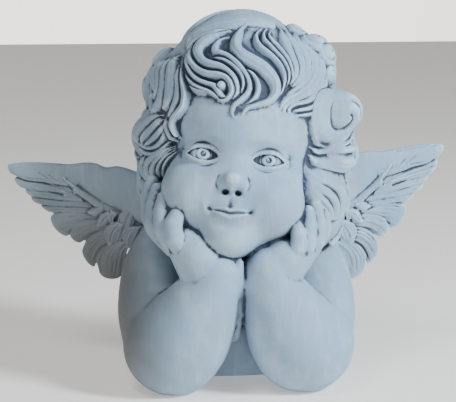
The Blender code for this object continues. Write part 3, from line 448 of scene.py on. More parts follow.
# Paint: the pale coat in three tints, lighter dust, the wash in recesses, painted shade where further forms
# close in, and a painted shadow low on one side
PALE = (0.300, 0.425, 0.570, 1)
PALE_WARM = (0.315, 0.410, 0.505, 1)
PALE_COOL = (0.270, 0.425, 0.615, 1)
DUSTED = (0.620, 0.730, 0.820, 1)
WASH = (0.036, 0.044, 0.074, 1)
# Painted shadow: a grey-brown tone for the shadow that falls low on one side
PAINTED_SHADOW_TONE = (0.160, 0.172, 0.178, 1)
# Painted shade: the darker coat where further forms close in
PAINTED_SHADE_TONE = (0.150, 0.190, 0.250, 1)
# Patterns: scale, detail and roughness, and for brush strokes also the stretch and the turn. In order:
# clouds, upright strokes, leaning strokes, mottling and grain
PATTERNS = (
    (22, 3, 0.5),
    (60, 4, 0.6, (2.4, 1, 0.45), (0, -0.45, 0)),
    (70, 5, 0.6, (2.8, 1, 0.5), (0, 0.55, 0)),
    (38, 5, 0.6),
    (420, 3, 0.6),
)
# Ramps: between which values of a pattern or of a recess, ridge or shade, and the shares that these give
WARM_CLOUDS, COOL_STROKES, PALE_STROKES = (0.40, 0.60), (0.44, 0.62, 0, 0.40), (0.50, 0.70, 0, 0.20)
MOTTLES, DUST_ON_RIDGE, DUST_STROKES = (0.46, 0.66, 0, 0.26), (0.08, 0.55), (0.35, 0.6, 0.6, 1)
# Next: ramps of the painted shade, of the wash, and of the clouds in the painted shadow
SHADED, POOLED, PAINTED_SHADOW_CLOUDS = (0.06, 0.60, 0, 0.42), (0.07, 0.70, 0, 0.97), (0.36, 0.62, 0.80, 1)
DULLNESS = (0.3, 0.7, 0.60, 0.74)
# How strongly dust covers a ridge, and how much recess and near forms count where the wash pools
DUST_SHARE, CREASE_POOLS, NEAR_POOLS = 0.85, 1.5, 1.6
# The painted shadow, in metres: from where to where it grows towards one side, and downwards
PAINTED_SHADOW_ASIDE, PAINTED_SHADOW_DOWN = (-0.036, -0.078), (0.150, 0.075, 0.45, 1)
# Bump of grain and strokes, its height in metres, and the coat's weak sheen
BUMP_STRENGTH, BUMP_DISTANCE, SHEEN = 0.35, 0.00012, 0.32

# Studio: brightness all round and behind the figure, then the lamps as place, size, power and colour
AMBIENT, BACKDROP = 0.14, 2.6
LIGHTS = (
    ("key", (1.05, -0.75, 0.95), 0.35, 38.0, (0.74, 0.90, 1.0)),
    ("top", (-0.40, -0.55, 1.20), 0.45, 5.5, (0.94, 0.98, 1.0)),
    ("front", (0.05, -1.60, 0.10), 0.50, 2.2, (1.0, 0.90, 0.78)),
    ("left", (-1.2, -0.9, 0.6), 0.80, 0.4, (1.0, 0.84, 0.66)),
)
LIT_POINT = (0, 0, 0.13)
# Where the surrounding turns bright, as the share of its direction that points away behind the figure
BEHIND, BACKDROP_COLOUR = (0.88, 0.98), (1.0, 0.96, 0.91, 1)
FLOOR_HALF, FLOOR_DROP = 3, 0.0005
FLOOR_COLOUR, FLOOR_GLOW = (0.92, 0.84, 0.76, 1), 0.34

# Camera: bearing and height in degrees; distance, target and width of view in metres; sensor in mm
CAMERA_BEARING, CAMERA_HEIGHT, CAMERA_AWAY = -5.5, 10, 1.1
CAMERA_TARGET, CAMERA_SPAN = (-0.004, 0, 0.122), 0.31236
SENSOR = 36

random = np.random.default_rng(7)


def turn_about(axis, degrees):
    return np.array(Matrix.Rotation(math.radians(degrees), 3, axis))


HEAD_TURNED = turn_about("Z", HEAD_TURN) @ turn_about("X", HEAD_TIP) @ turn_about("Y", HEAD_LEAN)


def from_head(points):
    return np.asarray(points, float) @ HEAD_TURNED.T + HEAD_CENTRE


def to_head(points):
    return (points - HEAD_CENTRE) @ HEAD_TURNED


def spline(controls, count):
    """count rows along a smooth curve through the control rows."""
    rows = np.asarray(controls, float)
    ends = np.vstack([2 * rows[0] - rows[1], rows, 2 * rows[-1] - rows[-2]])
    places = np.linspace(0, len(rows) - 1, count)
    first = np.minimum(places.astype(int), len(rows) - 2)
    t = (places - first)[:, None]
    a, b, c, d = (ends[first + k] for k in range(4))
    return 0.5 * (2 * b + (c - a) * t + (2 * a - 5 * b + 4 * c - d) * t**2 + (3 * b - a - 3 * c + d) * t**3)


def unit_rows(vectors):
    return vectors / np.maximum(np.linalg.norm(vectors, axis=-1, keepdims=True), 1e-12)


def limited(values):
    return np.clip(values, 0, 1)


def step_up(values, low, high):
    """0 below low, 1 above high, smooth between."""
    share = limited((values - low) / (high - low))
    return share * share * (3 - 2 * share)


def hump(values, width):
    return np.exp(-((values / width) ** 2))


def ring_faces(count, ring):
    """Triangles of a closed tube of rings, whose two ends meet in one point each."""
    i, k = np.meshgrid(np.arange(count - 1), np.arange(ring), indexing="ij")
    n = (k + 1) % ring
    a, b, c, d = i * ring + k, i * ring + n, (i + 1) * ring + n, (i + 1) * ring + k
    sides = np.concatenate([np.stack([a, b, c], -1).reshape(-1, 3), np.stack([a, c, d], -1).reshape(-1, 3)])
    k = np.arange(ring)
    n = (k + 1) % ring
    last, start = (count - 1) * ring, count * ring
    return np.concatenate([sides, np.stack([n, k, 0 * k + start], -1),
                           np.stack([last + k, last + n, 0 * k + start + 1], -1)])


def tube(spine, ups, widths, heights, profile):
    """A closed tube through the spine's points. Each ring is the profile: widths across, heights along up."""
    spine = np.asarray(spine, float)
    along = unit_rows(np.gradient(spine, axis=0))
    side = unit_rows(np.cross(along, ups))
    up = np.cross(side, along)
    across = side[:, None] * np.asarray(widths)[:, None, None] * profile[None, :, :1]
    rise = up[:, None] * np.asarray(heights)[:, None, None] * profile[None, :, 1:]
    rings = (spine[:, None] + across + rise).reshape(-1, 3)
    return np.vstack([rings, spine[:1], spine[-1:]]), ring_faces(len(spine), len(profile))


def round_profile(sides):
    angles = np.arange(sides) * 2 * math.pi / sides
    return np.stack([np.cos(angles), np.sin(angles)], axis=1)


def ball(centre, radii):
    climb = np.radians(np.linspace(-88, 88, 40))
    spine = np.array(centre, float) + np.outer(np.sin(climb), (0, 0, radii[2]))
    ups = np.tile((0.0, 1.0, 0.0), (len(climb), 1))
    return tube(spine, ups, np.cos(climb) * radii[0], np.cos(climb) * radii[1], round_profile(64))


def limb(controls, count=60, sides=64, knuckles=()):
    """A fleshy tube through x, y, z and radius, with a ball at each end."""
    rows = spline(controls, count)
    t = np.linspace(0, 1, count)
    for place, swell in knuckles:
        rows[:, 3] *= 1 + swell * hump(t - place, 0.07)
    ups = np.tile((0.0, -1.0, 0.2), (count, 1))
    yield tube(rows[:, :3], ups, rows[:, 3], rows[:, 3], round_profile(sides))
    for x, y, z, radius in (rows[0], rows[-1]):
        yield ball((x, y, z), (radius, radius, radius))


def ellipsoid_distance(points, centre, radii):
    """About how far points are from an ellipsoid, negative inside."""
    scaled = (points - np.array(centre, float)) / np.array(radii, float)
    k0 = np.sqrt((scaled * scaled).sum(axis=-1))
    scaled = scaled / np.array(radii, float)
    k1 = np.sqrt((scaled * scaled).sum(axis=-1))
    return k0 * (k0 - 1) / np.maximum(k1, 1e-9)


def blended(distances, softness):
    """A smooth union: the lowest distance, rounded where two are close."""
    low = distances[0]
    for other in distances[1:]:
        low = np.minimum(low, other)
    total = sum(np.exp(-(other - low) / softness) for other in distances)
    return low - softness * np.log(total)


def face_relief(side, z):
    """What stands out of the soft face, in units: brows, lips, philtrum and the folds round them."""
    line = MOUTH_LINE + 1.5 * (side / MOUTH_HALF) ** 2 - 0.5 * hump(side, 2.8)
    shape = limited(1 - (side / MOUTH_HALF) ** 2)
    upper = UPPER_LIP * shape**0.8 * (1 - 0.20 * hump(side, 1.8))
    lower = LOWER_LIP * limited(1 - (side / (MOUTH_HALF - 1.0)) ** 2) ** 0.7
    on_upper = np.minimum(z - line, line + upper - z)
    on_lower = np.minimum(line - z, z - line + lower)
    out = UPPER_LIP_OUT * step_up(on_upper, -0.8, 1.6) * shape**0.4 * (1 + 0.30 * hump(side, 3.5))
    out += LOWER_LIP_OUT * step_up(on_lower, -1.0, 2.4) * shape**0.4
    out -= LIP_SEAM_IN * hump(z - line, LIP_SEAM_HALF) * step_up(MOUTH_HALF + 1.0 - side, 0, 3)
    out -= MOUTH_CORNER_IN * hump(side - MOUTH_HALF - 0.2, 1.9) * hump(z - line, 1.7)
    out += SMILE_OUT * hump(side - MOUTH_HALF - SMILE_AT, 2.4) * hump(z - line, 4.5)
    band = step_up(z, line + upper - 0.5, line + upper + 2.0) * step_up(PHILTRUM_TOP - z, 0, 4)
    out += band * (PHILTRUM_OUT * hump(side - 4.2, 2.0) - PHILTRUM_IN * hump(side, 2.8))
    out -= CHIN_FOLD_IN * hump(z - line + CHIN_FOLD_AT, 2.8) * hump(side, 8)
    brow = EYE_LINE + BROW_OVER_EYE - 0.014 * (side - BROW_MIDDLE) ** 2
    out += BROW_OUT * hump(z - brow, 2.6) * np.exp(-(((side - BROW_MIDDLE) / BROW_HALF) ** 4))
    out += CHEEK_OUT * hump(side - CHEEK_AT[0], 11) * hump(z - CHEEK_AT[1], 10)
    return out


def face_distance(p):
    """Negative inside the bare head and face, in units of the head's frame."""
    y, z, side = p[..., 1], p[..., 2], np.abs(p[..., 0])
    front = step_up(-y, 22, 40)
    flesh = blended([ellipsoid_distance(p, c, r) for c, r in FACE_MASSES], FACE_BLEND)
    nose = blended([ellipsoid_distance(p, c, r) for c, r in NOSE], NOSE_BLEND)
    skin = blended([flesh, nose], NOSE_BLEND)
    across = side - EYE_APART
    level = z - EYE_LINE - EYE_SLANT * across
    skin = skin + SOCKET_DEPTH * hump(across, SOCKET_WIDTH) * hump(level, SOCKET_HEIGHT) * front
    skin = skin - face_relief(side, z) * front
    folded = np.stack([side, y, z], axis=-1)
    nostril = ellipsoid_distance(folded, (NOSTRIL_APART, *NOSTRIL_AT), NOSTRIL_RADII)
    skin = -blended([-skin, nostril], NOSTRIL_BLEND)
    wing_fold = np.hypot(side - NOSE_WING_AT[0], (z - NOSE_WING_AT[1]) * 0.85)
    skin = skin + NOSE_WING_IN * hump(wing_fold - NOSE_WING_FOLD, 1.0) * step_up(side, 7.5, 10.5) * front
    eyeball = np.sqrt(across**2 + (y - EYEBALL_BACK) ** 2 + level**2) - EYEBALL_RADIUS
    lids = blended([skin, eyeball - LID_THICKNESS], LID_BLEND)
    arch = limited(1 - (across / LID_OPENING) ** 2)
    upper, lower = UPPER_LID_ARCH * arch**0.8, -LOWER_LID_ARCH * arch**0.9
    near = limited(1 - (across / (LID_OPENING + 4)) ** 2) * front
    creases = UPPER_CREASE_IN * hump(level - upper - LID_CREASE_OFF, 0.9)
    creases = creases + LOWER_CREASE_IN * hump(level - lower + LID_CREASE_OFF, 1.2)
    lids = lids + near * creases
    gaze = np.hypot(across, level - GAZE_UP)
    drilled = IRIS_IN * hump(gaze - IRIS_RADIUS, 0.55) + PUPIL_IN * step_up(PUPIL_RADIUS + 0.4 - gaze, 0, 0.8)
    drilled = drilled - GLINT_IN * hump(np.hypot(across + 0.8, level - GAZE_UP - 1.1), 0.8)
    opening = step_up(np.minimum(upper - level, level - lower), 0, 0.9) * (y < -20)
    eye = np.minimum(eyeball + drilled, skin + LID_THICKNESS + 0.3)
    return lids + (eye - lids) * opening


def hair_distance(p):
    return blended([ellipsoid_distance(p, c, r) for c, r in HAIR_MASSES], HAIR_BLEND)


def halved(depth, span, count, times):
    """Two lengths for each of count rays, between which depth changes its sign, closer at each halving."""
    low, high = (np.full(count, float(length)) for length in span)
    for _ in range(times):
        middle = (low + high) / 2
        inside = depth(middle) < 0
        low, high = np.where(inside, middle, low), np.where(inside, high, middle)
    return low, high


def face_reach(directions):
    """How far the face reaches along rays."""
    def depth(lengths):
        return face_distance(FACE_RAYS_FROM + directions * lengths[:, None])

    low, high = halved(depth, FACE_SPAN, len(directions), 15)
    return (low + high) / 2


def hair_reach(directions):
    """How far the mass of hair reaches along rays: a few halvings, then two straight-line steps."""
    def depth(lengths):
        return hair_distance(HAIR_RAYS_FROM + directions * lengths[:, None])

    low, high = halved(depth, HAIR_SPAN, len(directions), 5)
    at_low, at_high = depth(low), depth(high)
    for _ in range(2):
        middle = low - at_low * (high - low) / (at_high - at_low)
        at_middle = depth(middle)
        inside = at_middle < 0
        low, at_low = np.where(inside, middle, low), np.where(inside, at_middle, at_low)
        high, at_high = np.where(inside, high, middle), np.where(inside, at_high, at_middle)
    return low - at_low * (high - low) / (at_high - at_low)


def directions_of(bearings, heights):
    """Unit vectors from angles in degrees: bearing from the middle of the face, height above the level."""
    a, e = np.radians(bearings), np.radians(heights)
    return np.stack([np.sin(a) * np.cos(e), -np.cos(a) * np.cos(e), np.sin(e)], axis=-1)


def on_hair(bearings, heights):
    outwards = directions_of(bearings, heights)
    return HAIR_RAYS_FROM + outwards * hair_reach(outwards)[:, None]


def beside_route(points, outwards, spine):
    """For each point its share along a stretch of a route, and how far it is to one side of it."""
    a, b = spine[:-1], spine[1:]
    along = b - a
    share = limited(((points[:, None] - a) * along).sum(axis=2) / (along**2).sum(axis=1))
    gap = points[:, None] - (a + share[..., None] * along)
    distance = np.sqrt((gap * gap).sum(axis=2))
    nearest = distance.argmin(axis=1)
    rows = np.arange(len(points))
    side = (np.cross(along[nearest], outwards) * gap[rows, nearest]).sum(axis=1)
    return (nearest + share[rows, nearest]) / len(a), distance[rows, nearest] * np.sign(side)


def back_locks():
    """Waved locks in staggered rows round the back of the head, three strands each."""
    for row, (height, number, sway, length) in enumerate(BACK_ROWS):
        step = (BACK_TO - BACK_FROM) / number
        for i in range(number):
            bearing = BACK_FROM + step * (i + (0.75 if row % 2 else 0.25))
            for strand in (-1, 1, 0):
                shift = strand * STRAND_APART / max(math.cos(math.radians(height)), 0.45)
                route = ((bearing + shift * 0.5, height + length * 0.6, 4.0),
                         (bearing + sway * 0.5 + shift, height + length * 0.2, 7.0),
                         (bearing + sway * 0.35 + shift, height - length * 0.25, 7.5),
                         (bearing - sway * 0.35 + shift * 0.6, height - length * 0.62, 4.0))
                yield STRAND_CREST + (MIDDLE_CREST if strand == 0 else 0), STRAND_FALL, route


def all_routes():
    """Every lock's spine, half widths and fine lines, worked out once."""
    locks = [*back_locks(), *LOCKS]
    counts = [ROUTE_STEPS * len(route) for _, _, route in locks]
    rows = np.vstack([spline(route, n) for (_, _, route), n in zip(locks, counts)])
    spines = on_hair(rows[:, 0], rows[:, 1])
    start = 0
    for (top, rise, _), n in zip(locks, counts):
        t = np.linspace(0, 1, n)
        half = rows[start:start + n, 2] / 2 * (0.3 + 0.7 * step_up(t, 0, 0.16))
        half = half * np.sqrt(np.clip(1 - np.clip((t - 0.94) / 0.06, 0, 0.8) ** 2, 0.1, 1))
        fine = int(min(half.max() / FINE_LINE_EVERY, MOST_FINE_LINES))
        lines = [(-0.62 + 1.24 * (k + random.uniform(0.3, 0.7)) / fine, random.uniform(0.05, 0.3),
                  random.uniform(0.6, 0.95)) for k in range(fine)]
        yield top, rise, spines[start:start + n], half, lines
        start += n


ROUTES = list(all_routes())


def close_to(points, spine, margin):
    """Which points lie close enough to a stretch of a route to be changed by it."""
    middle = spine.mean(axis=0)
    extent = np.linalg.norm(spine - middle, axis=1).max() + margin
    gap = points - middle
    return np.flatnonzero((gap * gap).sum(axis=1) < extent**2)


def lock_relief(points, outwards, relief, top, rise, spine, half, lines):
    """Lays one lock over the relief, a short stretch at a time, where it is the highest."""
    margin = half.max() + LOCK_SIDE_OUT
    whole = close_to(points, spine, margin)
    for first in range(0, len(spine) - 1, STRETCH):
        part = spine[first:first + STRETCH + 1]
        near = whole[close_to(points[whole], part, margin)]
        if not len(near):
            continue
        t, off = beside_route(points[near], outwards[near], part)
        t = (first + t * (len(part) - 1)) / (len(spine) - 1)
        wide = np.interp(t, np.linspace(0, 1, len(half)), half)
        out = np.abs(off) - wide
        kept = out < LOCK_SIDE_OUT
        near, t, wide, out = near[kept], t[kept], wide[kept], out[kept]
        beside = off[kept] / wide
        inner = limited(1 - beside**2)
        dome = np.sqrt(limited(1 - (beside + LOCK_SKEW * inner) ** 2)) * 0.6 + 0.4 * inner
        crest = (top + LOCKS_RAISED) * (0.15 + 0.85 * step_up(t, 0, 0.25)) * (1 - 0.3 * step_up(t, 0.8, 1))
        height = crest - LOCKS_ROUNDED * rise * (1 - dome) - LOCK_SIDE_STEEP * np.maximum(out, 0)
        for place, start, stop in lines:
            window = step_up(t, start - 0.08, start + 0.08) * step_up(-t, -stop - 0.08, -stop + 0.08)
            height -= HAIR_LINE_DEPTH * hump((beside - place) * wide, HAIR_LINE_HALF) * window
        relief[near] = np.maximum(relief[near], height)


def curl_relief(points, relief, bearing, height, radius, turns, swell, face_bearing, face_height, eye):
    """A snail of hair: a low ball with a groove that winds out from its eye, which may lie off the middle."""
    centre = on_hair(np.array([bearing]), np.array([height]))[0]
    facing = directions_of(face_bearing, face_height)
    side = unit_rows(np.cross((0, 0, 1.0), facing))
    up = np.cross(facing, side)
    gap = points - centre
    near = np.flatnonzero((gap * gap).sum(axis=1) < (1.6 * radius) ** 2)
    across, along = gap[near] @ side / radius, gap[near] @ up / radius
    reach = np.hypot(across, along)
    inwards = limited(1 - reach)
    across, along = across - eye[0] * inwards, along - eye[1] * inwards
    wound = np.hypot(across, along)
    phase = wound**0.8 * turns - np.arctan2(along, -across) / (2 * math.pi)
    groove = (1 - np.abs(np.sin(math.pi * phase))) ** 1.5 * step_up(wound, 0.04, 0.16)
    dome = radius * swell * np.sqrt(limited(1 - reach**2))
    grown = dome - min(CURL_GROOVE * radius, CURL_GROOVE_MOST) * groove * limited(6 * inwards) + CURL_RIM
    grown -= LOCK_SIDE_STEEP * radius * np.maximum(reach - 1, 0)
    relief[near] = np.maximum(grown, relief[near] - np.where(reach < 1, CURL_RIM, 0))


def hair_lengths(directions):
    """How far the carved hair reaches along rays; over the face it dips under the skin beside the locks."""
    bearings = np.degrees(np.arctan2(directions[:, 0], -directions[:, 1]))
    heights = np.degrees(np.arcsin(np.clip(directions[:, 2], -1, 1)))
    reach = hair_reach(directions)
    points = HAIR_RAYS_FROM + directions * reach[:, None]
    relief = np.full(len(points), -9.0)
    for route in ROUTES:
        lock_relief(points, directions, relief, *route)
    for curl in CURLS:
        curl_relief(points, relief, *curl)
    below = HAIRLINE_UP - heights
    left, right = HAIRLINE_LEFT - HAIRLINE_SPREAD * below, HAIRLINE_RIGHT + HAIRLINE_SPREAD * below
    inside = np.clip(np.minimum(below, np.minimum(bearings - left, right - bearings)), 0, 8)
    steeper = np.where((inside > 0) & (relief < -1.5), 3 * relief + 3, relief)
    floor = HAIR_FLOOR + 2.2 * step_up(heights, 60, 78) - 4.5 * inside
    return np.maximum(reach + np.maximum(steeper, floor), UNDER_FACE)


def sphere():
    """Directions all round, and the triangles between them."""
    clay = bmesh.new()
    bmesh.ops.create_icosphere(clay, subdivisions=BALL_CUTS, radius=1)
    mesh = bpy.data.meshes.new("sphere")
    clay.to_mesh(mesh)
    clay.free()
    points, faces = points_of(mesh), corners_of(mesh, 3)
    bpy.data.meshes.remove(mesh)
    return unit_rows(points), faces


def head():
    """The bare head, and the hair round it, softened so that it fuses cleanly and is carved later."""
    directions, faces = sphere()
    net = net_of(directions, faces)
    front = directions[:, 1] < 0.1
    lengths = np.full(len(directions), float(SKULL))
    lengths[front] = face_reach(directions[front])
    yield from_head(FACE_RAYS_FROM + directions * lengths[:, None]), faces
    lengths = net.smooth(hair_lengths(directions), 6)
    yield from_head(HAIR_RAYS_FROM + directions * lengths[:, None]), faces


def torso():
    rows = spline(TORSO_SECTIONS, 60)
    spine = np.stack([0 * rows[:, 0], rows[:, 1], rows[:, 0]], axis=1)
    profile = round_profile(96)
    corner = np.abs(profile) ** 0.8 * np.sign(profile)
    yield tube(spine, np.tile((0.0, 1.0, 0.0), (60, 1)), rows[:, 2], rows[:, 3], corner)
    yield ball(*THROAT)


def arms():
    for side, (low, high) in ARM_SETS.items():
        upper = [(x + low + (high - low) * z / SHOULDER_HEIGHT, y, z, r) for x, y, z, r in UPPER_ARM]
        fore = [(x + low * (1 - z / SHOULDER_HEIGHT), y, z, r) for x, y, z, r in FOREARM]
        for controls in (upper, fore):
            yield from limb([(side * x, y, z, r) for x, y, z, r in controls])


def web():
    """The narrow ridge of the casting between the forearms."""
    yield from limb(WEB)


def hands():
    for palm, fingers in ((LEFT_PALM, LEFT_FINGERS), (RIGHT_PALM, RIGHT_FINGERS)):
        yield from limb(palm)
        for finger in fingers:
            yield from limb([(x, y, z, r * FINGER_HALF) for x, y, z, r in finger], 40, 32, KNUCKLES)


def wing_axes(side):
    sweep_back, rise = math.radians(WING_SWEEP_BACK), math.radians(WING_RISES[side])
    outwards = np.array((side * math.cos(sweep_back), math.sin(sweep_back), 0))
    across = outwards * math.cos(rise) + np.array((0, 0, math.sin(rise)))
    up = np.array((0, 0, math.cos(rise))) - outwards * math.sin(rise)
    front = np.array((side * math.sin(sweep_back), -math.cos(sweep_back), 0))
    return across, up, front


def wing_drop(v, side):
    """How far a height on one wing lies below the same on the other, which is spread wider."""
    return WING_DROPS[side] * (-2 + 0.06 * v + 2.4 * step_up(v, -2, 12))


def in_wing(points, side):
    """u, v and depth of points in one wing's frame."""
    across, up, front = wing_axes(side)
    gap = points - WING_ROOT * (side, 1, 1)
    v = gap @ up
    for _ in range(3):
        v = gap @ up - wing_drop(v, side)
    return gap @ across / WING_REACHES[side], v, gap @ front


def on_wing(u, v, depth, side):
    across, up, front = wing_axes(side)
    u, v, depth = (np.asarray(n, float)[..., None] for n in (u, v, depth))
    flat = WING_ROOT * (side, 1, 1) + across * u * WING_REACHES[side] + up * (v + wing_drop(v, side))
    return flat + front * depth


def blade(form, count, cap):
    """Middle line, half width, share along and half thickness of a wing's form, with its round end."""
    first, second, _, thick, thin, _, end, _ = form
    a, b = spline(first, count), spline(second, count)
    middle, half = (a + b) / 2, (b - a) / 2
    onward = unit_rows((middle[-1] - middle[-3])[None])[0]
    turn = np.linspace(0, math.pi / 2, cap + 1)[1:]
    middle = np.vstack([middle, middle[-1] + np.outer(np.sin(turn) * end, onward)])
    half = np.vstack([half, np.outer(np.maximum(np.cos(turn), 0.04), half[-1])])
    t = np.concatenate([np.linspace(0, 1, count), 1 + 0.12 * np.sin(turn)])
    full = np.concatenate([np.ones(count), np.maximum(np.cos(turn), 0.04) ** 0.6])
    return middle, half, t, (thick + (thin - thick) * limited(t)) / 2 * full


def blade_grid(form, count, cap, angles):
    """Points of a form in u, v and depth: a row for each place along it, a column for each angle round it."""
    middle, half, t, thickness = blade(form, count, cap)
    s, d = np.cos(angles), np.sign(np.sin(angles)) * np.abs(np.sin(angles)) ** 0.75
    plane = middle[:, None] + half[:, None] * s[None, :, None]
    wide = np.linalg.norm(half, axis=1)
    depth = form[2] * (1 - 0.25 * limited(t))[:, None] + form[5] * s * wide[:, None]
    return plane[..., 0], plane[..., 1], depth + thickness[:, None] * d, t, s, wide


def wing_form(form, side):
    """A closed blade between two edges, with a rounded end."""
    angles = np.arange(28) * 2 * math.pi / 28
    u, v, depth, t, _, _ = blade_grid(form, 30, 9, angles)
    points = on_wing(u, v, depth, side).reshape(-1, 3)
    ends = [on_wing(u[row].mean(), v[row].mean(), depth[row].mean(), side) for row in (0, -1)]
    return np.vstack([points, ends]), ring_faces(len(t), len(angles))


class WingMap:
    """How far forward a wing's front stands over u and v, with its carved lines, and how deep those are."""

    def __init__(self):
        places, depths, grooves = [], [], []
        for form in WING_FORMS:
            long = np.linalg.norm(np.diff(np.array(form[0], float), axis=0), axis=1).sum()
            broad = max(math.dist(a, b) for a, b in zip(form[0], form[1]))
            angles = np.linspace(0, math.pi, int(broad / MAP_STEP * 2.4) + 8)
            u, v, depth, t, s, wide = blade_grid(form, int(long / MAP_STEP * 1.7) + 8, 30, angles)
            groove = np.zeros(u.shape)
            spots = np.linspace(-0.74, 0.74, form[7]) if form[7] > 1 else [0.0] * form[7]
            for spot in spots:
                spot = spot + random.uniform(-0.07, 0.07)
                first, last, deep = (random.uniform(*span) for span in FEATHER_LINE_SPANS)
                window = step_up(t, first - 0.1, first + 0.1) * step_up(-t, -last - 0.1, -last + 0.1)
                bend = spot + 0.05 * np.sin(3 * t + 9 * spot)
                line = hump((s[None, :] - bend[:, None]) * wide[:, None], FEATHER_LINE_HALF)
                groove = np.maximum(groove, deep * FEATHER_LINE_DEPTH * line * window[:, None])
            places.append(np.stack([u.ravel(), v.ravel()], -1))
            depths.append(depth.ravel())
            grooves.append(groove.ravel())
        place = np.round((np.vstack(places) - MAP_FROM) / MAP_STEP).astype(int)
        place = tuple(np.clip(place, 0, np.array(MAP_SIZE) - 1).T)
        depth, groove = np.concatenate(depths), np.concatenate(grooves)
        self.depth = np.full(MAP_SIZE, -9.0)
        np.maximum.at(self.depth, place, depth)
        on_top = depth > self.depth[place] - 0.12
        self.groove = np.zeros(MAP_SIZE)
        np.maximum.at(self.groove, tuple(k[on_top] for k in place), groove[on_top])
        for _ in range(5):
            empty = self.depth < -8
            spread = self.depth.copy()
            for shift in MAP_SIDES:
                spread = np.maximum(spread, np.roll(self.depth, shift, (0, 1)))
            self.depth = np.where(empty, spread, self.depth)
        u, v = np.meshgrid(*(MAP_FROM[k] + MAP_STEP * np.arange(MAP_SIZE[k]) for k in (0, 1)), indexing="ij")
        for u0, v0, u1, v1 in WING_CUTS:
            run, climb = u1 - u0, v1 - v0
            share = limited(((u - u0) * run + (v - v0) * climb) / (run**2 + climb**2))
            distance = np.hypot(u - u0 - share * run, v - v0 - share * climb)
            self.groove = np.maximum(self.groove, CUT_DEPTH * hump(distance, CUT_HALF) * (1 - 0.6 * share))
        self.front = self.softened(self.depth) - self.softened(self.groove)

    @staticmethod
    def softened(values):
        sides = sum(np.roll(values, shift, (0, 1)) for shift in MAP_SIDES)
        return values * 0.5 + sides * 0.125

    @staticmethod
    def at(values, u, v):
        """Values of the map at places between its cells."""
        x, y = (u - MAP_FROM[0]) / MAP_STEP, (v - MAP_FROM[1]) / MAP_STEP
        x, y = np.clip(x, 0, MAP_SIZE[0] - 2), np.clip(y, 0, MAP_SIZE[1] - 2)
        i, k = x.astype(int), y.astype(int)
        x, y = x - i, y - k
        low = values[i, k] * (1 - x) + values[i + 1, k] * x
        high = values[i, k + 1] * (1 - x) + values[i + 1, k + 1] * x
        return low * (1 - y) + high * y


def wings():
    for side in (-1, 1):
        for form in WING_FORMS:
            yield wing_form(form, side)


def closed_parts():
    for part in (*head(), *torso(), *arms(), *web(), *hands(), *wings()):
        points, faces = part
        a, b, c = (points[faces[:, k]] for k in range(3))
        volume = (a * np.cross(b, c)).sum()
        yield points, faces if volume > 0 else faces[:, ::-1]


def mesh_of(name, points, faces):
    mesh = bpy.data.meshes.new(name)
    sides = faces.shape[1]
    mesh.vertices.add(len(points))
    mesh.vertices.foreach_set("co", np.asarray(points, np.float32).ravel())
    mesh.loops.add(faces.size)
    mesh.loops.foreach_set("vertex_index", faces.astype(np.int32).ravel())
    mesh.polygons.add(len(faces))
    mesh.polygons.foreach_set("loop_start", np.arange(len(faces), dtype=np.int32) * sides)
    mesh.update(calc_edges=True)
    return mesh


def object_of(name, data):
    item = bpy.data.objects.new(name, data)
    bpy.context.scene.collection.objects.link(item)
    return item


def applied(item):
    """The mesh with the object's modifiers worked in; the object itself goes."""
    graph = bpy.context.evaluated_depsgraph_get()
    mesh = bpy.data.meshes.new_from_object(item.evaluated_get(graph))
    old = item.data
    bpy.data.objects.remove(item)
    bpy.data.meshes.remove(old)
    return mesh


def numbers_of(rows, key, width, kind):
    values = np.empty(len(rows) * width, kind)
    rows.foreach_get(key, values)
    return values


def points_of(mesh):
    return numbers_of(mesh.vertices, "co", 3, np.float32).reshape(-1, 3).astype(float)


def corners_of(mesh, sides):
    return numbers_of(mesh.loops, "vertex_index", 1, np.int32).reshape(-1, sides)


def edges_of(mesh):
    return numbers_of(mesh.edges, "vertices", 2, np.int32).reshape(-1, 2)


class Net:
    """Which points are neighbours, for smoothing values over a surface."""

    def __init__(self, edges, count):
        self.edges, self.count = edges, count
        self.degree = np.maximum(np.bincount(edges.ravel(), minlength=count), 1)

    def mean(self, values):
        a, b = self.edges[:, 0], self.edges[:, 1]
        flat = values.reshape(self.count, -1)
        sums = [np.bincount(a, flat[b, k], self.count) + np.bincount(b, flat[a, k], self.count)
                for k in range(flat.shape[1])]
        return (np.stack(sums, -1) / self.degree[:, None]).reshape(values.shape)

    def smooth(self, values, times, share=0.5):
        """Draws values towards their neighbours' mean; share is one number, or one for each point."""
        if np.ndim(share) and values.ndim > 1:
            share = share[:, None]
        for _ in range(times):
            values = values + share * (self.mean(values) - values)
        return values


def normals_of(points, faces):
    a, b, c = points[faces[:, 0]], points[faces[:, 1]], points[faces[:, 2]]
    if faces.shape[1] == 4:
        face = np.cross(c - a, points[faces[:, 3]] - b)
    else:
        face = np.cross(b - a, c - a)
    total = np.stack([sum(np.bincount(faces[:, k], face[:, j], len(points)) for k in range(faces.shape[1]))
                      for j in range(3)], -1)
    return unit_rows(total)


def largest_piece(points, faces, edges):
    """Leaves out any loose crumb of the fused casting."""
    label = np.arange(len(points))
    a, b = edges[:, 0], edges[:, 1]
    while True:
        low = np.minimum(label[a], label[b])
        new = label.copy()
        np.minimum.at(new, a, low)
        np.minimum.at(new, b, low)
        new = new[new]
        new = new[new]
        if (new == label).all():
            break
        label = new
    best = np.bincount(label).argmax()
    kept = label == best
    order = np.cumsum(kept) - 1
    return points[kept], order[faces[kept[faces].all(axis=1)]], order[edges[kept[edges].all(axis=1)]]


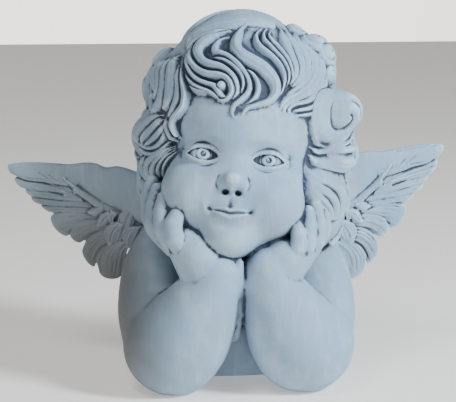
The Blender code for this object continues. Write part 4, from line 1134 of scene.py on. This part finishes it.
def fused(parts):
    """One skin round all the overlapping parts, in units."""
    points, faces, start = [], [], 0
    for part_points, part_faces in parts:
        points.append(part_points)
        faces.append(part_faces + start)
        start += len(part_points)
    item = object_of("clay", mesh_of("clay", np.vstack(points) * UNIT, np.vstack(faces)))
    remesh = item.modifiers.new("fuse", "REMESH")
    remesh.mode = "VOXEL"
    remesh.voxel_size = VOXEL
    mesh = applied(item)
    points, faces, edges = points_of(mesh) / UNIT, corners_of(mesh, 4), edges_of(mesh)
    bpy.data.meshes.remove(mesh)
    return largest_piece(points, faces, edges)


def triangles_of(points, quads):
    """Each quad as two triangles, cut along its shorter diagonal."""
    a, b, c, d = quads.T
    short = np.linalg.norm(points[a] - points[c], axis=1) <= np.linalg.norm(points[b] - points[d], axis=1)
    first = np.where(short[:, None], np.stack([a, b, c], -1), np.stack([b, c, d], -1))
    second = np.where(short[:, None], np.stack([a, c, d], -1), np.stack([b, d, a], -1))
    return np.concatenate([first, second])


def edge_keys(faces, count):
    """One number for each side of each triangle, the same for the two triangles that share it."""
    ends = np.sort(faces[:, [0, 1, 1, 2, 2, 0]].reshape(-1, 2).astype(np.int64), axis=1)
    return ends[:, 0] * count + ends[:, 1]


def split_where(points, faces, marked, values):
    """Halves the edges whose two ends are marked, so that fine carving gets finer triangles."""
    count = len(points)
    keys, place = np.unique(edge_keys(faces, count), return_inverse=True)
    a, b = keys // count, keys % count
    parted = marked[a] & marked[b]
    middle = np.where(parted, count + np.cumsum(parted) - 1, -1)[place.ravel()].reshape(-1, 3)
    number = (middle >= 0).sum(axis=1)
    f, k = faces[number == 3].T, middle[number == 3].T
    made = [faces[number == 0].T]
    made += [(f[0], k[0], k[2]), (k[0], f[1], k[1]), (k[2], k[1], f[2]), (k[0], k[1], k[2])]
    for turn in range(3):
        one = (number == 1) & (middle[:, turn] >= 0)
        f, k = np.roll(faces[one], -turn, axis=1).T, middle[one, turn]
        made += [(f[0], k, f[2]), (k, f[1], f[2])]
    a, b = a[parted], b[parted]
    points = np.vstack([points, (points[a] + points[b]) / 2])
    values = [np.concatenate([value, (value[a] + value[b]) / 2]) for value in values]
    return points, np.concatenate([np.stack(part, -1) for part in made]), values


def net_of(points, faces):
    keys = np.unique(edge_keys(faces, len(points)))
    return Net(np.stack([keys // len(points), keys % len(points)], -1), len(points))


def from_hair_centre(points):
    inner = to_head(points)
    gap = inner - HAIR_RAYS_FROM
    far = np.linalg.norm(gap, axis=1)
    return inner, gap / far[:, None], far


def before(inner, y):
    """Which points, in the head's frame, lie in front of y and not above or beside the face."""
    half, middle, tall = FACE_ZONE
    return (inner[:, 1] < y) & (np.abs(inner[:, 0]) < half) & (np.abs(inner[:, 2] - middle) < tall)


def kinds(points, hair_ball):
    """Which points lie on the hair, on the face, on a wing and on a hand."""
    inner, _, far = from_hair_centre(points)
    hair, face, wing = (np.zeros(len(points)) for _ in range(3))
    close = np.flatnonzero((far > SKULL) & (far < HAIR_SPAN[1]) & (inner[:, 2] > HAIR_LOWEST))
    ball = BVHTree.FromPolygons(hair_ball[0].tolist(), hair_ball[1].tolist())
    hair[close] = [ball.find_nearest(point, ON_HAIR)[0] is not None for point in points[close].tolist()]
    near = np.flatnonzero(before(inner, 0) & (far < HAIR_SPAN[1]) & (hair < 0.5))
    face[near] = np.abs(face_distance(inner[near])) < ON_FACE
    for side in (-1, 1):
        u, v, depth = in_wing(points, side)
        at = (side * points[:, 0] > WING_ZONE_X) & (u > WING_ZONE_U) & (np.abs(depth) < WING_ZONE_DEPTH)
        wing[at & (v > WING_ZONE_V[0]) & (v < WING_ZONE_V[1])] = 1
    wing[hair > 0.5] = 0
    hand = (points[:, 2] > HANDS_ABOVE) & (points[:, 1] < HANDS_BEFORE) & (hair + face + wing < 0.5)
    return hair, face, wing, hand.astype(float)


def features(points):
    """Whether points are on the eyes, the nose or the mouth."""
    inner = to_head(points)
    across, up = (np.abs(inner[:, 0]) - EYE_APART) / EYE_ZONE[0], (inner[:, 2] - EYE_LINE) / EYE_ZONE[1]
    eyes = np.hypot(across, up) < 1
    middle = np.hypot(inner[:, 0] / MIDDLE_ZONE[0], (inner[:, 2] - MIDDLE_HEIGHT) / MIDDLE_ZONE[1]) < 1
    return (inner[:, 1] < FEATURES_BEFORE) & (eyes | middle)


def drawn_onto_forms(points, faces, hair, face):
    """Moves the points of the hair and the face onto their exact forms, less so near a joint."""
    net = net_of(points, faces)
    on_hair_itself = hair > 0.5
    both = step_up(net.smooth(np.maximum(hair, face), 5), *CLEAR_SHARE)
    hair, face = (step_up(net.smooth(share, 5), *KIND_SHARE) for share in (hair, face))
    inner, rays, far = from_hair_centre(points)
    normals = normals_of(points, faces) @ HEAD_TURNED
    at = np.flatnonzero((hair > A_LITTLE) & (both > A_LITTLE))
    away = hair_lengths(rays[at]) - far[at]
    away = np.where(on_hair_itself[at], away, np.maximum(away, 0))
    facing = step_up((normals[at] * rays[at]).sum(axis=1), *HAIR_FACING)
    away = np.clip(away, -HAIR_MOVE, HAIR_MOVE) * (np.abs(away) < HAIR_LEFT) * facing * both[at]
    inner[at] += rays[at] * away[:, None]
    steep = np.zeros(len(points))
    steep[at] = 1 - step_up((normals_of(inner, faces)[at] * rays[at]).sum(axis=1), *HAIR_STEEP)
    skin = at[before(inner[at], -10)]
    inner[skin] += rays[skin] * np.clip(-face_distance(inner[skin]), 0, SKIN_MOVE)[:, None]
    at = np.flatnonzero((face > 0.5) & (both > A_LITTLE))
    for _ in range(4):
        inner = net.smooth(inner, 1, 0.4 * face * (hair < A_LITTLE))
        normals = normals_of(from_head(inner), faces)[at] @ HEAD_TURNED
        off = np.clip(face_distance(inner[at]), -FACE_MOVE, FACE_MOVE)
        inner[at] -= normals * (off * (hair[at] < A_LITTLE) * both[at])[:, None]
    joint = step_up(1 - both, 0.05, 0.5) * step_up(net.smooth(np.maximum(hair, face), 6), 0.02, 0.2)
    hairline = net.smooth(4 * hair * face * both, 2)
    inner = net.smooth(inner, 1, 0.3 * hair)
    inner = net.smooth(inner, 4, 0.5 * np.maximum(net.smooth(steep, 1), hairline))
    inner = net.smooth(inner, 8, 0.5 * net.smooth(joint, 1))
    return from_head(inner)


def drawn_onto_wings(points, faces, wing):
    """Moves a wing's front onto its exact relief, and carves lighter lines in its back."""
    net = net_of(points, faces)
    share = step_up(net.smooth(wing, 5), *CLEAR_SHARE)
    normals = normals_of(points, faces)
    fronts = []
    for side in (-1, 1):
        relief = WingMap()
        at = np.flatnonzero((share > A_LITTLE) & (side * points[:, 0] > 0))
        front = wing_axes(side)[2]
        u, v, depth = in_wing(points[at], side)
        facing = normals[at] @ front
        away = relief.at(relief.front, u, v) - depth
        shift = np.clip(away, -WING_MOVE, WING_MOVE) * (np.abs(away) < WING_LEFT)
        shift *= step_up(facing, *WING_FACING)
        shift += BACK_LINES * relief.at(relief.groove, u, v) * step_up(-facing, *WING_BACK_FACING)
        points[at] += front * (shift * share[at])[:, None]
        fronts.append((at, front, facing))
    normals = normals_of(points, faces)
    steep = np.zeros(len(points))
    for at, front, facing in fronts:
        steep[at] = (1 - step_up(normals[at] @ front, *WING_STEEP)) * (facing > 0.1) * share[at]
    points = net.smooth(points, 1, 0.25 * share)
    return net.smooth(points, 5, 0.5 * net.smooth(steep, 1))


def refined(points, quads, edges, hair_ball):
    """Joints softened, the carved parts in finer triangles, and the carving drawn to its exact form."""
    hair, face, wing, hand = kinds(points, hair_ball)
    body = 1 - limited(hair + face + wing + hand)
    net = Net(edges, len(points))
    body, hand = net.smooth(body, 4), net.smooth(hand, 2)
    points = net.smooth(points, 16, 0.5 * body)
    points = net.smooth(points, 3, 0.5 * hand + 0.12 * hair + 0.2 * wing)
    faces, values = triangles_of(points, quads), [hair, face, wing, hand]
    fine_hair = (hair > 0.5) & (to_head(points)[:, 1] < FRONT_HAIR)
    fine_wing = (wing > 0.5) & (normals_of(points, faces)[:, 1] < 0.1)
    points, faces, values = split_where(points, faces, features(points) | fine_hair | fine_wing, values)
    points, faces, values = split_where(points, faces, features(points), values)
    hair, face, wing, hand = values
    points = drawn_onto_forms(points, faces, hair, face)
    points = drawn_onto_wings(points, faces, wing)
    return points, faces, hair, face, wing, hand


def thinned(points, faces, plainer):
    """Fewer triangles: first the plainer parts down to their shares, then all of them to the limit."""
    item = object_of("fused", mesh_of("fused", points * UNIT, faces))
    left = len(faces)
    for number, (marked, share) in enumerate(plainer):
        group = item.vertex_groups.new(name=f"plainer_{number}")
        group.add(np.flatnonzero(marked).tolist(), 1, "REPLACE")
        kept = left - max(marked[faces].all(axis=1).sum() - share, 0)
        thin = item.modifiers.new(group.name, "DECIMATE")
        thin.ratio = kept / left
        thin.vertex_group = group.name
        thin.vertex_group_factor = 0
        left = kept
    thin = item.modifiers.new("to_the_limit", "DECIMATE")
    thin.ratio = min(1.0, (TRIANGLES - TRIANGLES_KEPT_BACK) / left)
    return applied(item)


def flat_below(mesh):
    """Cuts the mesh at the plane that the figure stands on, and closes it there."""
    clay = bmesh.new()
    clay.from_mesh(mesh)
    cut = bmesh.ops.bisect_plane(clay, geom=clay.verts[:] + clay.edges[:] + clay.faces[:], dist=1e-6,
                                 plane_co=(0, 0, 0), plane_no=(0, 0, 1), clear_inner=True)
    rim = [e for e in cut["geom_cut"] if isinstance(e, bmesh.types.BMEdge) and e.is_boundary]
    bmesh.ops.triangle_fill(clay, use_beauty=True, use_dissolve=False, edges=rim, normal=(0, 0, -1))
    bmesh.ops.triangulate(clay, faces=[f for f in clay.faces if len(f.verts) > 3])
    bmesh.ops.recalc_face_normals(clay, faces=clay.faces)
    clay.to_mesh(mesh)
    clay.free()
    mesh.update()


def occlusion(points, faces, normals):
    """How much other forms close in on each point, seen near by and further off: 0 open, 1 buried."""
    tree = BVHTree.FromPolygons(points.tolist(), faces.tolist())
    golden = math.pi * (3 - math.sqrt(5))
    near, far = np.zeros(len(points)), np.zeros(len(points))
    helper = np.where(np.abs(normals[:, 2:]) > 0.9, (1.0, 0, 0), (0, 0, 1.0))
    side = unit_rows(np.cross(normals, helper))
    up = np.cross(normals, side)
    starts = (points + normals * SHADE_START).tolist()
    for i in range(SHADE_RAYS):
        lean = math.sqrt((i + 0.5) / SHADE_RAYS) * SHADE_SPREAD
        turn = golden * i
        ways = normals * math.sqrt(1 - lean**2) + side * lean * math.cos(turn) + up * lean * math.sin(turn)
        hits = [tree.ray_cast(Vector(p), Vector(w), FAR_REACH)[3] for p, w in zip(starts, ways.tolist())]
        hits = np.array([FAR_REACH if h is None else h for h in hits])
        near += limited(1 - hits / NEAR_REACH) / SHADE_RAYS
        far += limited(1 - hits / FAR_REACH) / SHADE_RAYS
    return near, far


def finish_values(mesh):
    """How deep in a recess, how far on a ridge and how shut in each point is, for wash, dusting and painted
    shade.
    """
    points, faces, edges = points_of(mesh), corners_of(mesh, 3), edges_of(mesh)
    net = Net(edges, len(points))
    normals = normals_of(points, faces)
    level, dips = points, []
    for times in HOLLOW_WIDTHS:
        level = net.smooth(level, times)
        dips.append(((level - points) * normals).sum(axis=1) / UNIT)
    creased = sum(share * limited(dip / full - start) for dip, (share, full, start) in zip(dips, CREASES))
    ridge = sum(share * limited(-dip / full - start) for dip, (share, full, start) in zip(dips, RIDGES))
    gaps = np.linalg.norm(points[edges[:, 0]] - points[edges[:, 1]], axis=1) / UNIT
    spacing = sum(np.bincount(edges[:, k], gaps, len(points)) for k in (0, 1)) / net.degree
    ridge *= limited(RIDGE_SPACING / net.smooth(spacing, 3)) ** 2
    near, far = occlusion(points, faces, normals)
    # far carries the painted shade; crease and near carry the wash
    for name, values in (("crease", limited(net.smooth(creased, 1, 0.4))),
                         ("ridge", limited(net.smooth(ridge, 1, 0.4))),
                         ("near", net.smooth(near, 2)), ("far", net.smooth(far, 4))):
        layer = mesh.attributes.new(name, "FLOAT", "POINT")
        layer.data.foreach_set("value", values.astype(np.float32))


def carved_mesh():
    """The whole casting as one closed skin, carved, thinned, flat below and inside the CAD box."""
    parts = list(closed_parts())
    points, quads, edges = fused(parts)
    points, faces, hair, face, wing, hand = refined(points, quads, edges, parts[1])
    normals = normals_of(points, faces)
    limbs = hair + face + wing + hand < 0.5
    back = (hair > 0.5) & (to_head(points)[:, 1] > FRONT_HAIR)
    back |= (wing > 0.5) & (normals @ wing_axes(1)[2] < -0.1)
    points[:, 2] -= UNDERSIDE_TRIM
    mesh = thinned(points, faces, ((limbs, LIMB_TRIANGLES), (back, BACK_TRIANGLES)))
    flat_below(mesh)
    points = points_of(mesh)
    low, high = (np.array(corner, float) for corner in cad_box)
    points = np.clip(points, low + BOX_MARGIN * (low < 0), high - BOX_MARGIN)
    mesh.vertices.foreach_set("co", points.astype(np.float32).ravel())
    mesh.polygons.foreach_set("use_smooth", np.ones(len(mesh.polygons), bool))
    mesh.update()
    finish_values(mesh)
    return mesh


class Graph:
    """Short words for a material's nodes."""

    def __init__(self, name):
        self.material = bpy.data.materials.new(name)
        self.material.use_nodes = True
        self.tree = self.material.node_tree
        self.shader = next(n for n in self.tree.nodes if n.type == "BSDF_PRINCIPLED")
        self.object = self.node("ShaderNodeTexCoord").outputs["Object"]

    def node(self, kind, **settings):
        made = self.tree.nodes.new(kind)
        for key, value in settings.items():
            setattr(made, key, value)
        return made

    def put(self, value, socket):
        if isinstance(value, bpy.types.NodeSocket):
            self.tree.links.new(value, socket)
        else:
            socket.default_value = value

    def maths(self, operation, a, b):
        made = self.node("ShaderNodeMath", operation=operation)
        self.put(a, made.inputs[0])
        self.put(b, made.inputs[1])
        return made.outputs[0]

    def plus(self, a, b):
        return self.maths("ADD", a, b)

    def times(self, a, b):
        return self.maths("MULTIPLY", a, b)

    def value(self, name):
        return self.node("ShaderNodeAttribute", attribute_name=name).outputs["Fac"]

    def noise(self, scale, detail, rough, stretch=(1, 1, 1), turn=(0, 0, 0)):
        placed = self.node("ShaderNodeMapping")
        self.put(self.object, placed.inputs["Vector"])
        placed.inputs["Rotation"].default_value = turn
        placed.inputs["Scale"].default_value = stretch
        made = self.node("ShaderNodeTexNoise")
        self.put(placed.outputs[0], made.inputs["Vector"])
        made.inputs["Scale"].default_value = scale
        made.inputs["Detail"].default_value = detail
        made.inputs["Roughness"].default_value = rough
        return made.outputs["Fac"]

    def ramp(self, value, low, high, to_low=0.0, to_high=1.0):
        made = self.node("ShaderNodeMapRange", interpolation_type="SMOOTHSTEP")
        for socket, number in zip(made.inputs, (value, low, high, to_low, to_high)):
            self.put(number, socket)
        return made.outputs[0]

    def mix(self, share, first, second):
        made = self.node("ShaderNodeMix", data_type="RGBA")
        self.put(share, made.inputs[0])
        self.put(first, made.inputs[6])
        self.put(second, made.inputs[7])
        return made.outputs[2]


def washed_finish():
    """Matte pale blue grey, with a slate wash left in the recesses and lighter paint on the ridges, plus
    painted shade and a painted shadow.
    """
    g = Graph("washed_resin")
    clouds, brushed, slanted, mottled, grain = (g.noise(*pattern) for pattern in PATTERNS)
    pale = g.mix(g.ramp(clouds, *WARM_CLOUDS), PALE_WARM, PALE)
    pale = g.mix(g.ramp(brushed, *COOL_STROKES), pale, PALE_COOL)
    pale = g.mix(g.ramp(slanted, *PALE_STROKES), pale, DUSTED)
    pale = g.mix(g.ramp(mottled, *MOTTLES), pale, DUSTED)
    dusting = g.times(g.ramp(g.value("ridge"), *DUST_ON_RIDGE), g.ramp(brushed, *DUST_STROKES))
    pale = g.mix(g.times(dusting, DUST_SHARE), pale, DUSTED)
    # Painted shade: the coat is darkened, unevenly, where further forms close in
    uneven = g.times(g.plus(clouds, -0.5), 0.4)
    shade = g.ramp(g.plus(g.value("far"), uneven), *SHADED)
    coat = g.mix(shade, pale, PAINTED_SHADE_TONE)
    pooled = g.plus(g.times(g.value("crease"), CREASE_POOLS), g.times(g.value("near"), NEAR_POOLS))
    pooled = g.plus(pooled, g.times(g.plus(slanted, -0.5), 0.5))
    coat = g.mix(g.ramp(pooled, *POOLED), coat, WASH)
    # Painted shadow: grey-brown on the arm and wing towards negative x, deeper lower down, broken by clouds
    place = g.node("ShaderNodeSeparateXYZ")
    g.put(g.object, place.inputs[0])
    aside, low = g.ramp(place.outputs[0], *PAINTED_SHADOW_ASIDE), g.ramp(place.outputs[2], *PAINTED_SHADOW_DOWN)
    painted_shadow = g.times(g.times(aside, low), g.ramp(clouds, *PAINTED_SHADOW_CLOUDS))
    coat = g.mix(painted_shadow, coat, PAINTED_SHADOW_TONE)
    g.put(coat, g.shader.inputs["Base Color"])
    rough = g.plus(g.ramp(grain, *DULLNESS), g.times(g.value("crease"), 0.08))
    g.put(rough, g.shader.inputs["Roughness"])
    g.shader.inputs["Specular IOR Level"].default_value = SHEEN
    bump = g.node("ShaderNodeBump")
    bump.inputs["Strength"].default_value = BUMP_STRENGTH
    bump.inputs["Distance"].default_value = BUMP_DISTANCE
    g.put(g.plus(grain, g.times(brushed, 0.8)), bump.inputs["Height"])
    g.put(bump.outputs[0], g.shader.inputs["Normal"])
    return g.material


def aimed(item, place, target):
    item.location = place
    item.rotation_euler = (Vector(target) - Vector(place)).to_track_quat("-Z", "Y").to_euler()


def pale_floor():
    corners = np.array(((-1, -1, 0), (1, -1, 0), (1, 1, 0), (-1, 1, 0))) * float(FLOOR_HALF)
    floor = object_of("floor", mesh_of("floor", corners, np.array(((0, 1, 2, 3),))))
    floor.location = (0, 0, -FLOOR_DROP)
    pale = bpy.data.materials.new("floor")
    pale.use_nodes = True
    shader = pale.node_tree.nodes["Principled BSDF"]
    for name, value in (("Base Color", FLOOR_COLOUR), ("Roughness", 0.9),
                        ("Emission Color", (1, 1, 1, 1)), ("Emission Strength", FLOOR_GLOW)):
        shader.inputs[name].default_value = value
    floor.data.materials.append(pale)
    floor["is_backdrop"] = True


def studio_light():
    """A dim surrounding that is bright behind the figure, and soft lamps."""
    world = bpy.data.worlds.new("studio")
    world.use_nodes = True
    nodes, links = world.node_tree.nodes, world.node_tree.links
    backdrop = nodes["Background"]
    place = nodes.new("ShaderNodeTexCoord")
    parts = nodes.new("ShaderNodeSeparateXYZ")
    behind = nodes.new("ShaderNodeMapRange")
    links.new(place.outputs["Generated"], parts.inputs[0])
    links.new(parts.outputs["Y"], behind.inputs["Value"])
    for name, value in zip(("From Min", "From Max", "To Min", "To Max"), (*BEHIND, AMBIENT, BACKDROP)):
        behind.inputs[name].default_value = value
    links.new(behind.outputs[0], backdrop.inputs["Strength"])
    backdrop.inputs["Color"].default_value = BACKDROP_COLOUR
    bpy.context.scene.world = world
    for name, place, size, power, colour in LIGHTS:
        lamp = bpy.data.lights.new(name, "AREA")
        lamp.shape, lamp.size, lamp.energy, lamp.color = "DISK", size, power, colour
        aimed(object_of(name, lamp), place, LIT_POINT)


def photo_camera():
    a, e, target = math.radians(CAMERA_BEARING), math.radians(CAMERA_HEIGHT), Vector(CAMERA_TARGET)
    offset = Vector((math.sin(a) * math.cos(e), -math.cos(a) * math.cos(e), math.sin(e)))
    lens = bpy.data.cameras.new("photo_angle")
    lens.sensor_width = SENSOR
    lens.lens = SENSOR * CAMERA_AWAY / CAMERA_SPAN
    camera = object_of("photo_angle", lens)
    aimed(camera, target + offset * CAMERA_AWAY, target)
    bpy.context.scene.camera = camera


mesh = carved_mesh()
mesh.materials.append(washed_finish())
bust = object_of("cherub_bust_look", mesh)
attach(bust, "root")
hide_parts("cherub_bust")
pale_floor()
studio_light()
photo_camera()
bpy.context.view_layer.update()

boxes = {"cad": cad_box, "visual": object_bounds()}
{name: [list(corner) for corner in box] for name, box in boxes.items()}
